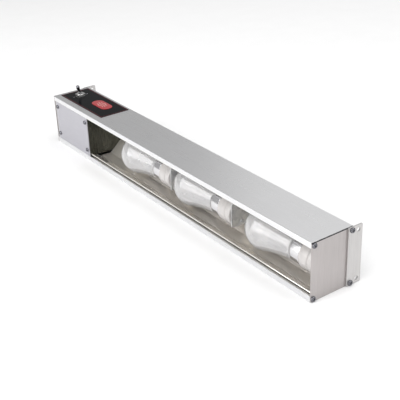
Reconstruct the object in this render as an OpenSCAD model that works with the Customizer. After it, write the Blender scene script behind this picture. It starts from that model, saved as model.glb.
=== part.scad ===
// Strip display warmer: an extruded channel with three screw-in lamps,
// a polished reflector and a switch box at one end. Millimetres.
//
// Frame: +X runs along the channel, away from the switch box. -Y is the open
// front, where the lamps shine out. +Z is the side that carries the switch.
// The origin is the centre of the overall box in X and Y, on the bottom face.
// Everything is drawn from the channel's front bottom left corner, and
// to_frame() moves it to the origin.

/* [Channel] */
// Length over both end plates
overall_l = 609.6; // [580:0.1:640]
// Depth from the open front to the rear wall
body_d = 64; // [62:0.5:72]
// Height of the channel
body_h = 78; // [76:0.5:86]
// Wall thickness
wall = 1.6; // [1.2:0.1:2]
// Radius of the outside corners
corner_r = 0.8; // [0.4:0.1:1.5]
// Height of the upper front lip
lip_top = 7.2; // [7:0.1:9]
// Height of the lower front lip
lip_bottom = 7.8; // [7:0.1:9]

/* [Screw channels in the corners] */
// Distance of each screw channel from the two nearest faces
boss_inset = 3.75; // [3.6:0.05:4.2]
// Outside radius of a screw channel
boss_r = 3.4; // [3:0.1:3.4]
// Radius of the pilot hole
pilot_r = 1.7; // [1.4:0.05:1.8]

/* [End plates and hanging brackets] */
// Thickness of an end plate
plate_t = 1.2; // [1:0.1:2]
// Thickness of a hanging bracket
bracket_t = 1.9; // [1.5:0.1:3]
// Place of the bracket's front edge, from the open front
bracket_y = 54.5; // [52:0.5:56]
// How far the bracket stands out past the rear wall
bracket_reach = 12.7; // [10:0.1:16]
// Distance of the hanging holes behind the rear wall
hang_y = 6.3; // [5:0.1:8]
// Distance of the hanging holes from the bracket's ends
hang_inset = 6.2; // [5:0.1:8]
// Radius of a hanging hole
hang_r = 2.7; // [2:0.05:3]
// Radius of the power inlet hole in the left end plate
inlet_r = 11.1; // [8:0.1:12]

/* [Switch box] */
// Left edge of the front cover
cover_x = 5; // [4:0.5:6]
// Right edge of the front cover
cover_end = 103.6; // [100:0.1:106]
// Thickness of the front cover
cover_t = 1.2; // [1:0.1:1.5]
// Distance of the cover screws from the cover's left edge
cover_screw_x1 = 4; // [3.5:0.1:6]
// Distance of the cover screws from the cover's right edge
cover_screw_x2 = 6.4; // [5:0.1:8]
// Height of the lower cover screws
cover_screw_low = 17; // [14:0.5:20]
// Height of the upper cover screws
cover_screw_high = 62.5; // [58:0.5:64]
// Thickness of the partition and of the cover flange
flange_t = 1.2; // [1:0.1:1.5]

/* [Label and badge] */
// Left edge of the label
label_x = 4; // [3:0.5:6]
// Front edge of the label
label_y = 10.5; // [8:0.5:12]
// Length of the label
label_l = 127; // [110:1:132]
// Depth of the label
label_d = 49.5; // [40:0.5:52]
// Thickness of the label
label_t = 0.35; // [0.2:0.05:0.5]
// Centre of the badge along the channel
badge_x = 86.5; // [70:0.5:100]
// Centre of the badge from the open front
badge_y = 38.5; // [30:0.5:42]
// Length of the badge
badge_l = 43; // [30:1:50]
// Depth of the badge
badge_d = 19.5; // [14:0.5:24]
// Thickness of the badge
badge_t = 0.8; // [0.4:0.1:1.5]
// Corner radius of the badge
badge_corner = 9.5; // [2:0.1:9.7]

/* [Switch] */
// Centre of the switch along the channel
switch_x = 26.5; // [20:0.5:34]
// Centre of the switch from the open front
switch_y = 33.7; // [28:0.1:40]
// Radius of the threaded bushing
bushing_r = 5.95; // [5.5:0.05:6.1]
// Height of the bushing above the channel
bushing_top = 4.6; // [4:0.1:6]
// Radius of the bushing's bore
bushing_bore_r = 3.2; // [3.1:0.05:3.4]
// Height of the lever's pivot above the channel
pivot_h = 2; // [1.5:0.1:2.5]
// Length of the lever from its pivot to its tip
lever_l = 16.8; // [14:0.1:22]
// Lean of the lever each way from upright
lever_lean = 14; // [10:1:15]

/* [Lamps] */
// Front of the first lamp along the channel
lamp_a_x = 178; // [175:0.5:180]
// Front of the second lamp along the channel
lamp_b_x = 314; // [312:0.5:318]
// Front of the third lamp along the channel
lamp_c_x = 468; // [460:0.5:470]
// Distance of the lamp axis from the open front
lamp_y = 30.5; // [30.2:0.1:31]
// Height of the lamp axis
lamp_z = 39; // [38:0.5:40]
// Largest radius of the glass
glass_r = 29; // [26:0.5:29]
// Length of the glass outside the metal base
glass_l = 88; // [86:0.5:88]
// Wall thickness of the glass
glass_t = 0.8; // [0.6:0.1:1]
// Radius of the glass at the neck
neck_r = 18; // [16:0.1:18.4]
// Radius of the rim of the metal base
rim_r = 13.2; // [13:0.1:13.4]
// Middle radius of the thread on the metal base
thread_r = 12.7; // [12.6:0.05:12.75]
// Half the depth of the thread
thread_depth = 0.45; // [0.3:0.05:0.5]
// Pitch of the thread
thread_pitch = 3.63; // [3.6:0.01:3.7]

/* [Sockets] */
// Start of the screw shell behind the front of the lamp
shell_start = 90; // [88:0.5:92]
// Length of the screw shell
shell_l = 26; // [24:0.5:27]
// Radius of the metal collar around the front of the shell
collar_r = 18.8; // [17:0.1:19.5]
// Start of the porcelain behind the front of the lamp
porcelain_start = 105; // [103:0.5:106]
// Length of the porcelain
porcelain_l = 25; // [24:0.5:27]
// Radius of the porcelain
porcelain_r = 20; // [18:0.5:21]
// Thickness of the bracket that holds a socket
holder_t = 1.5; // [1.2:0.1:2]

/* [Reflector] */
// Thickness of the sheet
sheet_t = 0.8; // [0.6:0.1:1]
// Radius of the rolled hem along the lower front edge
hem_r = 1.1; // [0.8:0.1:1.3]
// Height of the hem's centre
hem_z = 10.9; // [10:0.1:11.5]

/* [Screws] */
// Head radius of the end plate screws
end_head_r = 3.5; // [3:0.1:3.6]
// Head radius of the cover screws
cover_head_r = 3.2; // [2.8:0.1:3.6]
// Clearance between a shank and its hole
shank_gap = 0.05; // [0.03:0.01:0.1]

/* [Wiring] */
// Radius of a trunk wire
wire_r = 1.3; // [1:0.1:1.4]
// Radius of a socket lead
lead_r = 1.6; // [1.4:0.1:1.8]

/* [Hidden] */
$fn = 64;

// Small overlap that carries a cut past a face
eps = 0.5;
// Length of the extruded channel between the end plates
body_l = overall_l - 2 * plate_t;
// Inside face of the rear wall
rear_in = body_d - wall;

// Pan head screws
end_head_h = 2.4;
cover_head_h = 2;
small_head_r = 2.6;
small_head_h = 1.6;
small_shank_r = 1.5;
end_shank_l = 14;
plate_hole_r = 2.2;

// Front cover: it fills the opening between the lips
cover_gap = 0.2;
cover_low = lip_bottom + cover_gap;
cover_high = body_h - lip_top - cover_gap;
cover_hole_r = 2;
cover_shank_r = 1.5;
cover_shank_l = 5;
cover_screw_xs = [cover_x + cover_screw_x1, cover_end - cover_screw_x2];
cover_screw_zs = [cover_screw_low, cover_screw_high];
flange_w = 13.7;
flange_depth = 13;

// Partition between the switch box and the lamps
partition_x = cover_end + 0.3;

// Reflector section: hem, slope, floor, rear slope, rear wall, and the same above
reflector_x = partition_x + 0.4;
reflector_end = body_l - 0.3;
mirror_y = body_d - 3;
floor_z = 3.6;
ceiling_z = body_h - 3.4;
floor_front = 18;
floor_rear = 36;
ceiling_front = 9;
rear_slope = 21;
hem_y = 3.2;
reflector_path = [
    [hem_y, hem_z],
    [floor_front, floor_z],
    [floor_rear, floor_z],
    [mirror_y, floor_z + rear_slope],
    [mirror_y, ceiling_z - rear_slope],
    [floor_rear, ceiling_z],
    [ceiling_front, ceiling_z]
];
mirror_face = mirror_y - sheet_t / 2;
rivet_xs = [130, 270, 406, 456, 560];
rivet_r = 1.6;
rivet_head_r = 3;
rivet_head_h = 0.9;

// Lamps and sockets
lamp_xs = [lamp_a_x, lamp_b_x, lamp_c_x];
socket_end = porcelain_start + porcelain_l;
dome_sweep = 110;
shoulder_r = 3;
dome_arm = 8;
neck_arm = [-1.5, 10];
neck_in_r = 11.7;
neck_in_l = 7;
base_l = 19;
rim_h = 0.8;
base_wall = 0.35;
insulator_l = 3.6;
contact_l = 2;
contact_r = 4.8;
shell_gap = 0.35;
shell_t = 0.5;
collar_t = 0.7;
collar_edge = 0.5;
porcelain_bore_l = 13;
porcelain_edge = 2;
holder_front = 14;
holder_reach = 17;
holder_edge = 2;
holder_notch = [3.6, 3.2];
foot_l = 20;
foot_low = lamp_z - 14;
foot_h = 28;
foot_screw_dz = 8;
socket_screw_dz = 12;
socket_screw_l = 7;

// Lead from the back of each socket through the lower rear slope
lead_y = 40;
lead_z = 27;
lead_turn = 3.2;
lead_straight = 0.2;
lead_run = 18;
slope_angle = atan2(rear_slope, mirror_y - floor_rear);
lead_dir = [0, sin(slope_angle), -cos(slope_angle)];
lead_bend_x = socket_end + holder_t + lead_straight;
// Run of a lead from its bend to the middle of the sheet
lead_to_slope = [floor_rear - lead_y, floor_z - lead_z] * [lead_dir.y, lead_dir.z] - lead_turn;
grommet_r = 3.8;
grommet_neck_r = 3.1;
grommet_gap = 0.05;
grommet_flange_t = 1.2;

// Trunk wires behind the lower rear slope
trunk_ys = [49.5, 53];
trunk_z = 3.4;
trunk_start = 64;
trunk_end = 585;
trunk_turn = 4;
splice_r = 2.4;
splice_l = 1.5;

// Data plate on the rear wall
data_plate_x = 22;
data_plate_top = 55;
data_plate_l = 60;
data_plate_h = 32;
data_plate_t = 0.3;
data_plate_r = 2;

// Terminal block
block_x = 48;
block_y = 46;
block_z = 11;
block_l = 32;
block_d = 15.4;
block_h = 14;
block_step = 11;
well_x = 5;
well_y = 4;
well_r = 2.4;
well_depth = 3;

// Ground screw on the rear wall
ground_x = 90;
ground_z = 58;
ground_head_r = 4.4;
ground_head_h = 2.6;

// Switch body
switch_l = 33;
switch_w = 19;
switch_h = 17.5;
switch_drop = 5;
washer_r = 8;
washer_t = 0.7;
nut_flats = 14.3;
nut_h = 2.4;
thread_gap = 0.1;
pivot_ball_r = 2.8;
pivot_pin_r = 0.7;
pivot_pin_l = 6.2;

// The overall box in Y runs from the cover screw heads to the bracket's edge
mid_y = (body_d + bracket_reach - cover_head_h) / 2;

module to_frame() {
    translate([-body_l / 2, -mid_y, 0]) children();
}

// Draws a Y-Z outline and extends it along +X
module along_x(length) {
    rotate([90, 0, 90]) linear_extrude(length) children();
}

// Turns a [radius, distance] outline about the X axis
module turn_x() {
    rotate([0, 90, 0]) rotate_extrude($fn = 72) children();
}

// Points +Z children towards +Y
module face_rear() {
    rotate([-90, 0, 0]) children();
}

// Points +Z children towards -Y
module face_front() {
    rotate([90, 0, 0]) children();
}

// Points +Z children towards +X
module face_right() {
    rotate([0, 90, 0]) children();
}

// Points +Z children towards -X
module face_left() {
    rotate([0, -90, 0]) children();
}

module rounded_rect(w, h, r) {
    translate([r, 0]) square([w - 2 * r, h]);
    translate([0, r]) square([w, h - 2 * r]);
    for (x = [r, w - r], y = [r, h - r]) {
        translate([x, y]) circle(r, $fn = 32);
    }
}

// A round rod from one point to another
module rod(from, to, r) {
    span = to - from;
    turn = atan2(span.y, span.x);
    tilt = acos(span.z / norm(span));
    translate(from) rotate([0, tilt, turn]) cylinder(h = norm(span), r = r, $fn = 24);
}

function normal(v) = [-v.y, v.x] / norm(v);

// The corner of a bent sheet's face, at distance d from point i of its middle line
function sheet_corner(points, i, d) =
    let (
        last = len(points) - 1,
        before = normal(i == 0 ? points[1] - points[0] : points[i] - points[i - 1]),
        after = normal(i == last ? points[last] - points[last - 1] : points[i + 1] - points[i])
    )
    points[i] + d * (before + after) / (1 + before * after);

// A sheet of even thickness that follows a line of points
module sheet_outline(points, t) {
    last = len(points) - 1;
    polygon(concat(
        [for (i = [0 : last]) sheet_corner(points, i, t / 2)],
        [for (i = [last : -1 : 0]) sheet_corner(points, i, -t / 2)]
    ));
}

// A pan head screw with a cross recess: head above z = 0, shank below
module pan_screw(head_r, head_h, shank_r, shank_l) {
    edge = head_h * 0.3;
    dome = [for (a = [0 : 15 : 90]) [head_r * cos(a), edge + (head_h - edge) * sin(a)]];
    slot_w = head_r * 0.24;
    difference() {
        rotate_extrude($fn = 48) polygon(concat([[0, 0], [head_r, 0]], dome));
        for (a = [0, 90]) {
            rotate(a)
                translate([-head_r * 0.5, -slot_w / 2, head_h * 0.45])
                    cube([head_r, slot_w, head_h]);
        }
    }
    translate([0, 0, -shank_l]) cylinder(h = shank_l, r = shank_r, $fn = 32);
}

// Puts children at the four corner screw channels in the Y-Z plane
module at_corners() {
    for (y = [boss_inset, body_d - boss_inset], z = [boss_inset, body_h - boss_inset]) {
        translate([0, y, z]) children();
    }
}

// Holes along Y through the reflector and the rear wall
module rear_fixings(r, length) {
    for (x = rivet_xs) {
        translate([x, rear_in - 3, lamp_z]) face_rear() cylinder(h = length, r = r, $fn = 32);
    }
    for (x = lamp_xs, side = [-1, 1]) {
        translate([x + socket_end - foot_l / 2, rear_in - 3, lamp_z + side * foot_screw_dz])
            face_rear()
                cylinder(h = length, r = r, $fn = 32);
    }
}

module channel_outline() {
    difference() {
        union() {
            difference() {
                rounded_rect(body_d, body_h, corner_r);
                translate([wall, wall]) square([body_d - 2 * wall, body_h - 2 * wall]);
                translate([-eps, lip_bottom])
                    square([wall + 2 * eps, body_h - lip_top - lip_bottom]);
            }
            for (y = [boss_inset, body_d - boss_inset], z = [boss_inset, body_h - boss_inset]) {
                translate([y, z]) circle(boss_r, $fn = 48);
            }
        }
        for (y = [boss_inset, body_d - boss_inset], z = [boss_inset, body_h - boss_inset]) {
            translate([y, z]) circle(pilot_r, $fn = 32);
        }
    }
}

module housing() {
    color("lightgray") to_frame() difference() {
        along_x(body_l) channel_outline();
        translate([switch_x, switch_y, body_h - wall - eps])
            cylinder(h = wall + 2 * eps, r = bushing_r + thread_gap);
        rear_fixings(rivet_r + shank_gap, 10);
        translate([ground_x, rear_in - eps, ground_z])
            face_rear()
                cylinder(h = wall + 2 * eps, r = small_shank_r + shank_gap, $fn = 32);
    }
}

module reflector() {
    color("gainsboro") to_frame() difference() {
        translate([reflector_x, 0, 0]) along_x(reflector_end - reflector_x) {
            sheet_outline(reflector_path, sheet_t);
            translate([hem_y, hem_z]) circle(hem_r, $fn = 32);
        }
        rear_fixings(rivet_r + shank_gap, 4);
        for (x = lamp_xs) {
            translate([x + lead_bend_x + lead_turn, lead_y, lead_z])
                rotate([slope_angle + 180, 0, 0])
                    cylinder(h = lead_run + 6, r = grommet_neck_r + grommet_gap);
        }
    }
}

module end_plate(hole) {
    difference() {
        along_x(plate_t) rounded_rect(body_d, body_h, corner_r);
        translate([-eps, 0, 0]) at_corners() {
            face_right() cylinder(h = plate_t + 2 * eps, r = plate_hole_r, $fn = 32);
        }
        if (hole) {
            translate([-eps, lamp_y, lamp_z])
                face_right()
                    cylinder(h = plate_t + 2 * eps, r = inlet_r);
        }
    }
}

module end_plate_left() {
    color("silver") to_frame() translate([-plate_t, 0, 0]) end_plate(true);
}

module end_plate_right() {
    color("silver") to_frame() translate([body_l, 0, 0]) end_plate(false);
}

module mounting_bracket() {
    width = body_d + bracket_reach - bracket_y;
    difference() {
        translate([0, bracket_y, 0]) along_x(bracket_t) rounded_rect(width, body_h, 1.2);
        translate([-eps, 0, 0]) at_corners() {
            face_right() cylinder(h = bracket_t + 2 * eps, r = plate_hole_r, $fn = 32);
        }
        for (z = [hang_inset, body_h - hang_inset]) {
            translate([-eps, body_d + hang_y, z])
                face_right()
                    cylinder(h = bracket_t + 2 * eps, r = hang_r, $fn = 48);
        }
    }
}

module mounting_bracket_left() {
    color("silver") to_frame() translate([-plate_t - bracket_t, 0, 0]) mounting_bracket();
}

module mounting_bracket_right() {
    color("silver") to_frame() translate([body_l + plate_t, 0, 0]) mounting_bracket();
}

// The rear pair at each end also clamps the hanging bracket
module end_screws() {
    color("dimgray") to_frame() {
        for (y = [boss_inset, body_d - boss_inset], z = [boss_inset, body_h - boss_inset]) {
            seat = plate_t + (y > bracket_y ? bracket_t : 0);
            translate([body_l + seat, y, z])
                face_right()
                    pan_screw(end_head_r, end_head_h, pilot_r - shank_gap, end_shank_l);
            translate([-seat, y, z])
                face_left()
                    pan_screw(end_head_r, end_head_h, pilot_r - shank_gap, end_shank_l);
        }
    }
}

module at_cover_screws() {
    for (x = cover_screw_xs, z = cover_screw_zs) {
        translate([x, 0, z]) children();
    }
}

module control_cover() {
    color("lightgray") to_frame() difference() {
        translate([cover_x, cover_t, cover_low])
            face_front()
                linear_extrude(cover_t)
                    rounded_rect(cover_end - cover_x, cover_high - cover_low, 1);
        at_cover_screws() {
            translate([0, cover_t + eps, 0])
                face_front()
                    cylinder(h = cover_t + 2 * eps, r = cover_hole_r, $fn = 32);
        }
    }
}

module cover_screws() {
    color("silver") to_frame() at_cover_screws() {
        face_front() pan_screw(cover_head_r, cover_head_h, cover_shank_r - shank_gap, cover_shank_l);
    }
}

// The strip behind the cover's edge, with the holes its screws bite into
module screw_strip(x) {
    difference() {
        translate([x, cover_t, cover_low]) cube([flange_w, flange_t, cover_high - cover_low]);
        at_cover_screws() {
            translate([0, cover_t + flange_t + eps, 0])
                face_front()
                    cylinder(h = flange_t + 2 * eps, r = cover_shank_r, $fn = 32);
        }
    }
}

module cover_flange() {
    color("silver") to_frame() {
        screw_strip(0);
        translate([0, cover_t, cover_low]) cube([flange_t, flange_depth, cover_high - cover_low]);
    }
}

module partition() {
    color("silver") to_frame() {
        screw_strip(partition_x - flange_w);
        translate([partition_x - flange_t, cover_t, cover_low])
            cube([flange_t, rear_in - cover_t - 0.2, cover_high - cover_low]);
    }
}

module control_label() {
    color([0.1, 0.1, 0.11]) to_frame() difference() {
        translate([label_x, label_y, body_h])
            linear_extrude(label_t)
                rounded_rect(label_l, label_d, 1.2);
        translate([switch_x, switch_y, body_h - eps]) cylinder(h = 2, r = bushing_r + thread_gap);
    }
}

module badge() {
    color([0.78, 0.16, 0.16]) to_frame()
        translate([badge_x - badge_l / 2, badge_y - badge_d / 2, body_h + label_t])
            linear_extrude(badge_t)
                rounded_rect(badge_l, badge_d, badge_corner);
}

module data_plate() {
    color("gainsboro") to_frame()
        translate([data_plate_x, body_d, data_plate_top])
            face_rear()
                linear_extrude(data_plate_t)
                    rounded_rect(data_plate_l, data_plate_h, data_plate_r);
}

module switch_body() {
    top = body_h - switch_drop;
    color([0.15, 0.15, 0.16]) to_frame() translate([switch_x, switch_y, top]) difference() {
        union() {
            translate([-switch_w / 2, -switch_l / 2, -switch_h]) cube([switch_w, switch_l, switch_h]);
            translate([-switch_w / 2 - 0.6, -switch_l / 2 + 4, -8]) cube([switch_w + 1.2, switch_l - 8, 8]);
        }
        translate([0, 0, -6]) cylinder(h = 8, r = bushing_bore_r);
    }
}

module switch_bushing() {
    top = body_h - switch_drop;
    color("silver") to_frame() translate([switch_x, switch_y, top]) difference() {
        cylinder(h = switch_drop + bushing_top, r = bushing_r);
        translate([0, 0, -eps]) cylinder(h = switch_drop + bushing_top + 2 * eps, r = bushing_bore_r);
    }
}

module switch_washer() {
    color("silver") to_frame() translate([switch_x, switch_y, body_h + label_t]) difference() {
        cylinder(h = washer_t, r = washer_r);
        translate([0, 0, -eps]) cylinder(h = washer_t + 2 * eps, r = bushing_r + thread_gap);
    }
}

module switch_nut() {
    corner = nut_flats / 2 / cos(30);
    color("silver") to_frame()
        translate([switch_x, switch_y, body_h + label_t + washer_t])
            difference() {
                intersection() {
                    cylinder(h = nut_h, r = corner, $fn = 6);
                    rotate_extrude() polygon([
                        [0, 0],
                        [nut_flats / 2, 0],
                        [corner, 0.5],
                        [corner, nut_h - 0.5],
                        [nut_flats / 2, nut_h],
                        [0, nut_h]
                    ]);
                }
                translate([0, 0, -eps]) cylinder(h = nut_h + 2 * eps, r = bushing_r + thread_gap);
            }
}

// Bat-shaped lever on a ball with a pivot pin, leaning towards the open front
module toggle_lever() {
    tip_r = 2.9;
    tip_z = lever_l - tip_r;
    tip = [for (a = [0 : 15 : 90]) [tip_r * cos(a), tip_z + tip_r * sin(a)]];
    ball = [for (a = [-60 : 15 : 45]) [pivot_ball_r * cos(a), pivot_ball_r * sin(a)]];
    outline = concat([[0, -6], [1.4, -6]], ball, [[1.75, 3.2], [2.0, 8]], tip);
    color("silver") to_frame() translate([switch_x, switch_y, body_h + pivot_h]) {
        rotate([lever_lean, 0, 0]) rotate_extrude($fn = 48) polygon(outline);
        translate([-pivot_pin_l / 2, 0, 0])
            face_right()
                cylinder(h = pivot_pin_l, r = pivot_pin_r, $fn = 32);
    }
}

module switch_terminals() {
    low = body_h - switch_drop - switch_h;
    color("gold") to_frame() for (dy = [-10, 0]) {
        translate([switch_x - 3.15, switch_y + dy - 0.4, low - 8]) cube([6.3, 0.8, 8]);
    }
}

// Point on a cubic curve
function curve_point(t, a, b, c, d) =
    pow(1 - t, 3) * a + 3 * pow(1 - t, 2) * t * b + 3 * (1 - t) * t * t * c + pow(t, 3) * d;

// Glass outline as [radius, distance], from the dome over the shoulder to the throat
function glass_outline(inset) =
    let (
        r = glass_r - inset,
        start = [r * sin(dome_sweep), glass_r - r * cos(dome_sweep)],
        slope = [cos(dome_sweep), sin(dome_sweep)],
        neck = [neck_r - inset, glass_l - shoulder_r],
        turn = shoulder_r - inset
    )
    concat(
        [for (a = [0 : 10 : dome_sweep]) [r * sin(a), glass_r - r * cos(a)]],
        [for (t = [0.1 : 0.1 : 1])
            curve_point(t, start, start + dome_arm * slope, neck - neck_arm, neck)],
        [for (a = [15 : 15 : 90])
            [neck_r - shoulder_r + turn * cos(a), glass_l - shoulder_r + turn * sin(a)]],
        [[neck_in_r - inset, glass_l - inset]]
    );

module bulb_glass(x) {
    color([0.93, 0.93, 0.92]) to_frame() translate([x, lamp_y, lamp_z]) turn_x() difference() {
        polygon(concat(
            glass_outline(0),
            [[neck_in_r, glass_l + neck_in_l], [0, glass_l + neck_in_l]]
        ));
        polygon(concat(
            glass_outline(glass_t),
            [[neck_in_r - glass_t, glass_l + neck_in_l + 1], [0, glass_l + neck_in_l + 1]]
        ));
    }
}

// Wavy thread outline between two distances behind the front of the lamp
function thread_outline(radius, from, to) =
    [for (s = [from : thread_pitch / 8 : to])
        [radius + thread_depth * cos(360 * s / thread_pitch), s]];

module bulb_base(x) {
    rim = glass_l + 0.2;
    end = rim + base_l;
    color("silver") to_frame() translate([x, lamp_y, lamp_z]) turn_x() difference() {
        polygon(concat(
            [[0, rim], [rim_r, rim], [rim_r, rim + rim_h]],
            thread_outline(thread_r, rim + 2 * rim_h, end - 2),
            [[11.4, end], [0, end]]
        ));
        polygon(concat(
            [[0, rim - 1], [neck_in_r + 0.1, rim - 1], [neck_in_r + 0.1, rim + neck_in_l]],
            [[neck_in_r - 0.2, end - 2.2], [11.4 - base_wall, end - base_wall]],
            [[9.6, end - base_wall], [9.6, end + 1], [0, end + 1]]
        ));
    }
}

module bulb_insulator(x) {
    start = glass_l + 0.2 + base_l;
    color([0.12, 0.1, 0.14]) to_frame() translate([x, lamp_y, lamp_z]) turn_x() polygon([
        [0, start - 1.5],
        [9.4, start - 1.5],
        [9.4, start],
        [10.6, start],
        [5.6, start + insulator_l],
        [0, start + insulator_l]
    ]);
}

module bulb_contact(x) {
    start = glass_l + 0.2 + base_l + insulator_l;
    dome = [for (a = [0 : 15 : 90]) [contact_r * cos(a), start + 0.6 + (contact_l - 0.6) * sin(a)]];
    color("darkgray") to_frame() translate([x, lamp_y, lamp_z]) turn_x()
        polygon(concat([[0, start], [contact_r, start]], dome));
}

// Glass stem with two lead-in wires and the filament between their tips
module filament(x) {
    stem_top = 60;
    wire_tip = 34;
    spread = 12;
    color("gray") to_frame() translate([x, lamp_y, lamp_z]) {
        turn_x() polygon([
            [0, stem_top],
            [2.2, stem_top],
            [2.6, stem_top + 14],
            [7.5, glass_l + 1],
            [7.5, glass_l + 2],
            [0, glass_l + 2]
        ]);
        for (side = [-1, 1]) {
            rod([stem_top + 2, 0, side * 1.2], [wire_tip, 0, side * spread], 0.45);
            rod([wire_tip, 0, side * spread], [wire_tip + 4, 0, 0], 0.7);
            translate([wire_tip, 0, side * spread]) sphere(0.9, $fn = 24);
        }
        rod([stem_top + 2, 0, 0], [wire_tip + 4, 0, 0], 0.35);
    }
}

// Porcelain with a rounded rim, a bore for the screw shell and two fixing holes
module socket_body(x) {
    r = porcelain_r;
    from = porcelain_start;
    edge = porcelain_edge;
    front = [for (a = [0 : 15 : 90]) [r - edge + edge * sin(a), from + edge - edge * cos(a)]];
    back = [for (a = [0 : 15 : 90]) [r - edge + edge * cos(a), socket_end - edge + edge * sin(a)]];
    color("white") to_frame() translate([x, lamp_y, lamp_z]) difference() {
        turn_x() polygon(concat([[0, from]], front, back, [[0, socket_end]]));
        translate([from - eps, 0, 0])
            face_right()
                cylinder(h = porcelain_bore_l + eps, r = thread_r + thread_depth + shell_gap + shell_t + 0.2);
        for (side = [-1, 1]) {
            translate([socket_end + eps, 0, side * socket_screw_dz])
                face_left()
                    cylinder(h = 8 + eps, r = small_shank_r, $fn = 32);
        }
        translate([socket_end + eps, lead_y - lamp_y, lead_z - lamp_z])
            face_left()
                cylinder(h = 6 + eps, r = lead_r + 0.2, $fn = 32);
    }
}

// Threaded shell that takes the lamp, its collar, and the contact behind it
module socket_shell(x) {
    inner = thread_r + shell_gap;
    outer = inner + shell_t;
    end = shell_start + shell_l;
    contact_at = glass_l + 0.2 + base_l + insulator_l + contact_l + 0.3;
    mouth = outer + thread_depth / 2;
    collar = [
        [mouth, shell_start],
        [collar_r - collar_edge, shell_start],
        [collar_r, shell_start + collar_edge],
        [collar_r, porcelain_start],
        [collar_r - collar_t, porcelain_start],
        [collar_r - collar_t, shell_start + collar_t],
        [mouth, shell_start + collar_t]
    ];
    color("silver") to_frame() translate([x, lamp_y, lamp_z]) {
        turn_x() {
            difference() {
                polygon(concat(
                    [[0, shell_start], [mouth, shell_start], [mouth, shell_start + collar_t]],
                    thread_outline(outer, shell_start + thread_pitch / 2, end),
                    [[outer - thread_depth, end], [0, end]]
                ));
                polygon(concat(
                    [[0, shell_start - 1]],
                    [[inner + thread_depth, shell_start - 1]],
                    thread_outline(inner, shell_start, end - 1),
                    [[inner - thread_depth, end - shell_t], [8, end - shell_t], [8, end + 1], [0, end + 1]]
                ));
            }
            polygon(collar);
        }
        translate([contact_at, 0, 0]) face_right() cylinder(h = 0.6, r = 4.2, $fn = 32);
        translate([contact_at + 0.6, -2, -2])
            cube([porcelain_start + porcelain_bore_l - contact_at - 0.6, 4, 4]);
    }
}

// Angle bracket: an upright behind the porcelain and a foot on the reflector
module socket_bracket(x) {
    back = x + socket_end;
    // Half of the upright's outline above the lamp axis; the notch clears the slopes
    half = [
        [holder_front, holder_reach - holder_edge],
        [holder_front + holder_edge, holder_reach],
        [mirror_face - holder_notch.x, holder_reach],
        [mirror_face, holder_reach - holder_notch.y]
    ];
    color("silver") to_frame() difference() {
        union() {
            translate([back, 0, lamp_z])
                along_x(holder_t)
                    polygon(concat(half, [for (i = [3 : -1 : 0]) [half[i].x, -half[i].y]]));
            translate([back - foot_l, mirror_face - holder_t, foot_low])
                cube([foot_l + holder_t, holder_t, foot_h]);
        }
        for (side = [-1, 1]) {
            translate([back - eps, lamp_y, lamp_z + side * socket_screw_dz])
                face_right()
                    cylinder(h = holder_t + 2 * eps, r = small_shank_r, $fn = 32);
            translate([back - foot_l / 2, mirror_face - holder_t - eps, lamp_z + side * foot_screw_dz])
                face_rear()
                    cylinder(h = holder_t + 2 * eps, r = rivet_r + shank_gap, $fn = 32);
        }
        translate([back - eps, lead_y, lead_z])
            face_right()
                cylinder(h = holder_t + 2 * eps, r = lead_r + 0.2, $fn = 32);
    }
}

module socket_screws() {
    color("silver") to_frame() for (x = lamp_xs, side = [-1, 1]) {
        translate([x + socket_end + holder_t, lamp_y, lamp_z + side * socket_screw_dz])
            face_right()
                pan_screw(small_head_r, small_head_h, small_shank_r - shank_gap, socket_screw_l);
    }
}

module bracket_screws() {
    reach = body_d - mirror_face + holder_t;
    color("silver") to_frame() for (x = lamp_xs, side = [-1, 1]) {
        translate([
            x + socket_end - foot_l / 2,
            mirror_face - holder_t,
            lamp_z + side * foot_screw_dz
        ])
            face_front()
                pan_screw(small_head_r, small_head_h, rivet_r, reach);
    }
}

module reflector_rivets() {
    dome = [for (a = [0 : 15 : 90]) [rivet_head_r * cos(a), rivet_head_h * sin(a)]];
    color("silver") to_frame() for (x = rivet_xs) {
        translate([x, mirror_face, lamp_z]) face_front() {
            rotate_extrude($fn = 48) polygon(concat([[0, 0]], dome));
            translate([0, 0, mirror_face - body_d])
                cylinder(h = body_d - mirror_face, r = rivet_r, $fn = 32);
        }
        translate([x, body_d, lamp_z])
            face_rear()
                rotate_extrude($fn = 48)
                    polygon(concat([[0, 0]], dome));
    }
}

// Puts children, drawn along +Z, on the straight run of each socket lead
module on_lead(distance) {
    for (x = lamp_xs) {
        translate([x + lead_bend_x + lead_turn, lead_y, lead_z] + (lead_turn + distance) * lead_dir)
            rotate([slope_angle + 180, 0, 0])
                children();
    }
}

module wire_grommets() {
    reach = sheet_t / 2 + grommet_gap;
    color([0.12, 0.12, 0.12]) to_frame() on_lead(lead_to_slope) difference() {
        union() {
            translate([0, 0, -reach - grommet_flange_t])
                cylinder(h = grommet_flange_t, r = grommet_r, $fn = 48);
            translate([0, 0, -reach]) cylinder(h = 2 * reach, r = grommet_neck_r, $fn = 48);
            translate([0, 0, reach]) cylinder(h = grommet_flange_t, r = grommet_r, $fn = 48);
        }
        translate([0, 0, -4]) cylinder(h = 8, r = lead_r + grommet_gap, $fn = 48);
    }
}

module socket_leads() {
    tilt = 180 - slope_angle;
    color([0.9, 0.88, 0.84]) to_frame() {
        for (x = lamp_xs) {
            translate([x + socket_end - 5, lead_y, lead_z])
                face_right()
                    cylinder(h = 5 + holder_t + lead_straight, r = lead_r, $fn = 32);
            translate([x + lead_bend_x, lead_y, lead_z])
                rotate([slope_angle, 0, 0])
                    translate([0, 0, -lead_turn])
                        rotate([90, 0, 0])
                            rotate_extrude(angle = 90, $fn = 64)
                                translate([lead_turn, 0])
                                    circle(lead_r, $fn = 32);
        }
        on_lead(0) cylinder(h = lead_run, r = lead_r, $fn = 32);
    }
}

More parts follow.
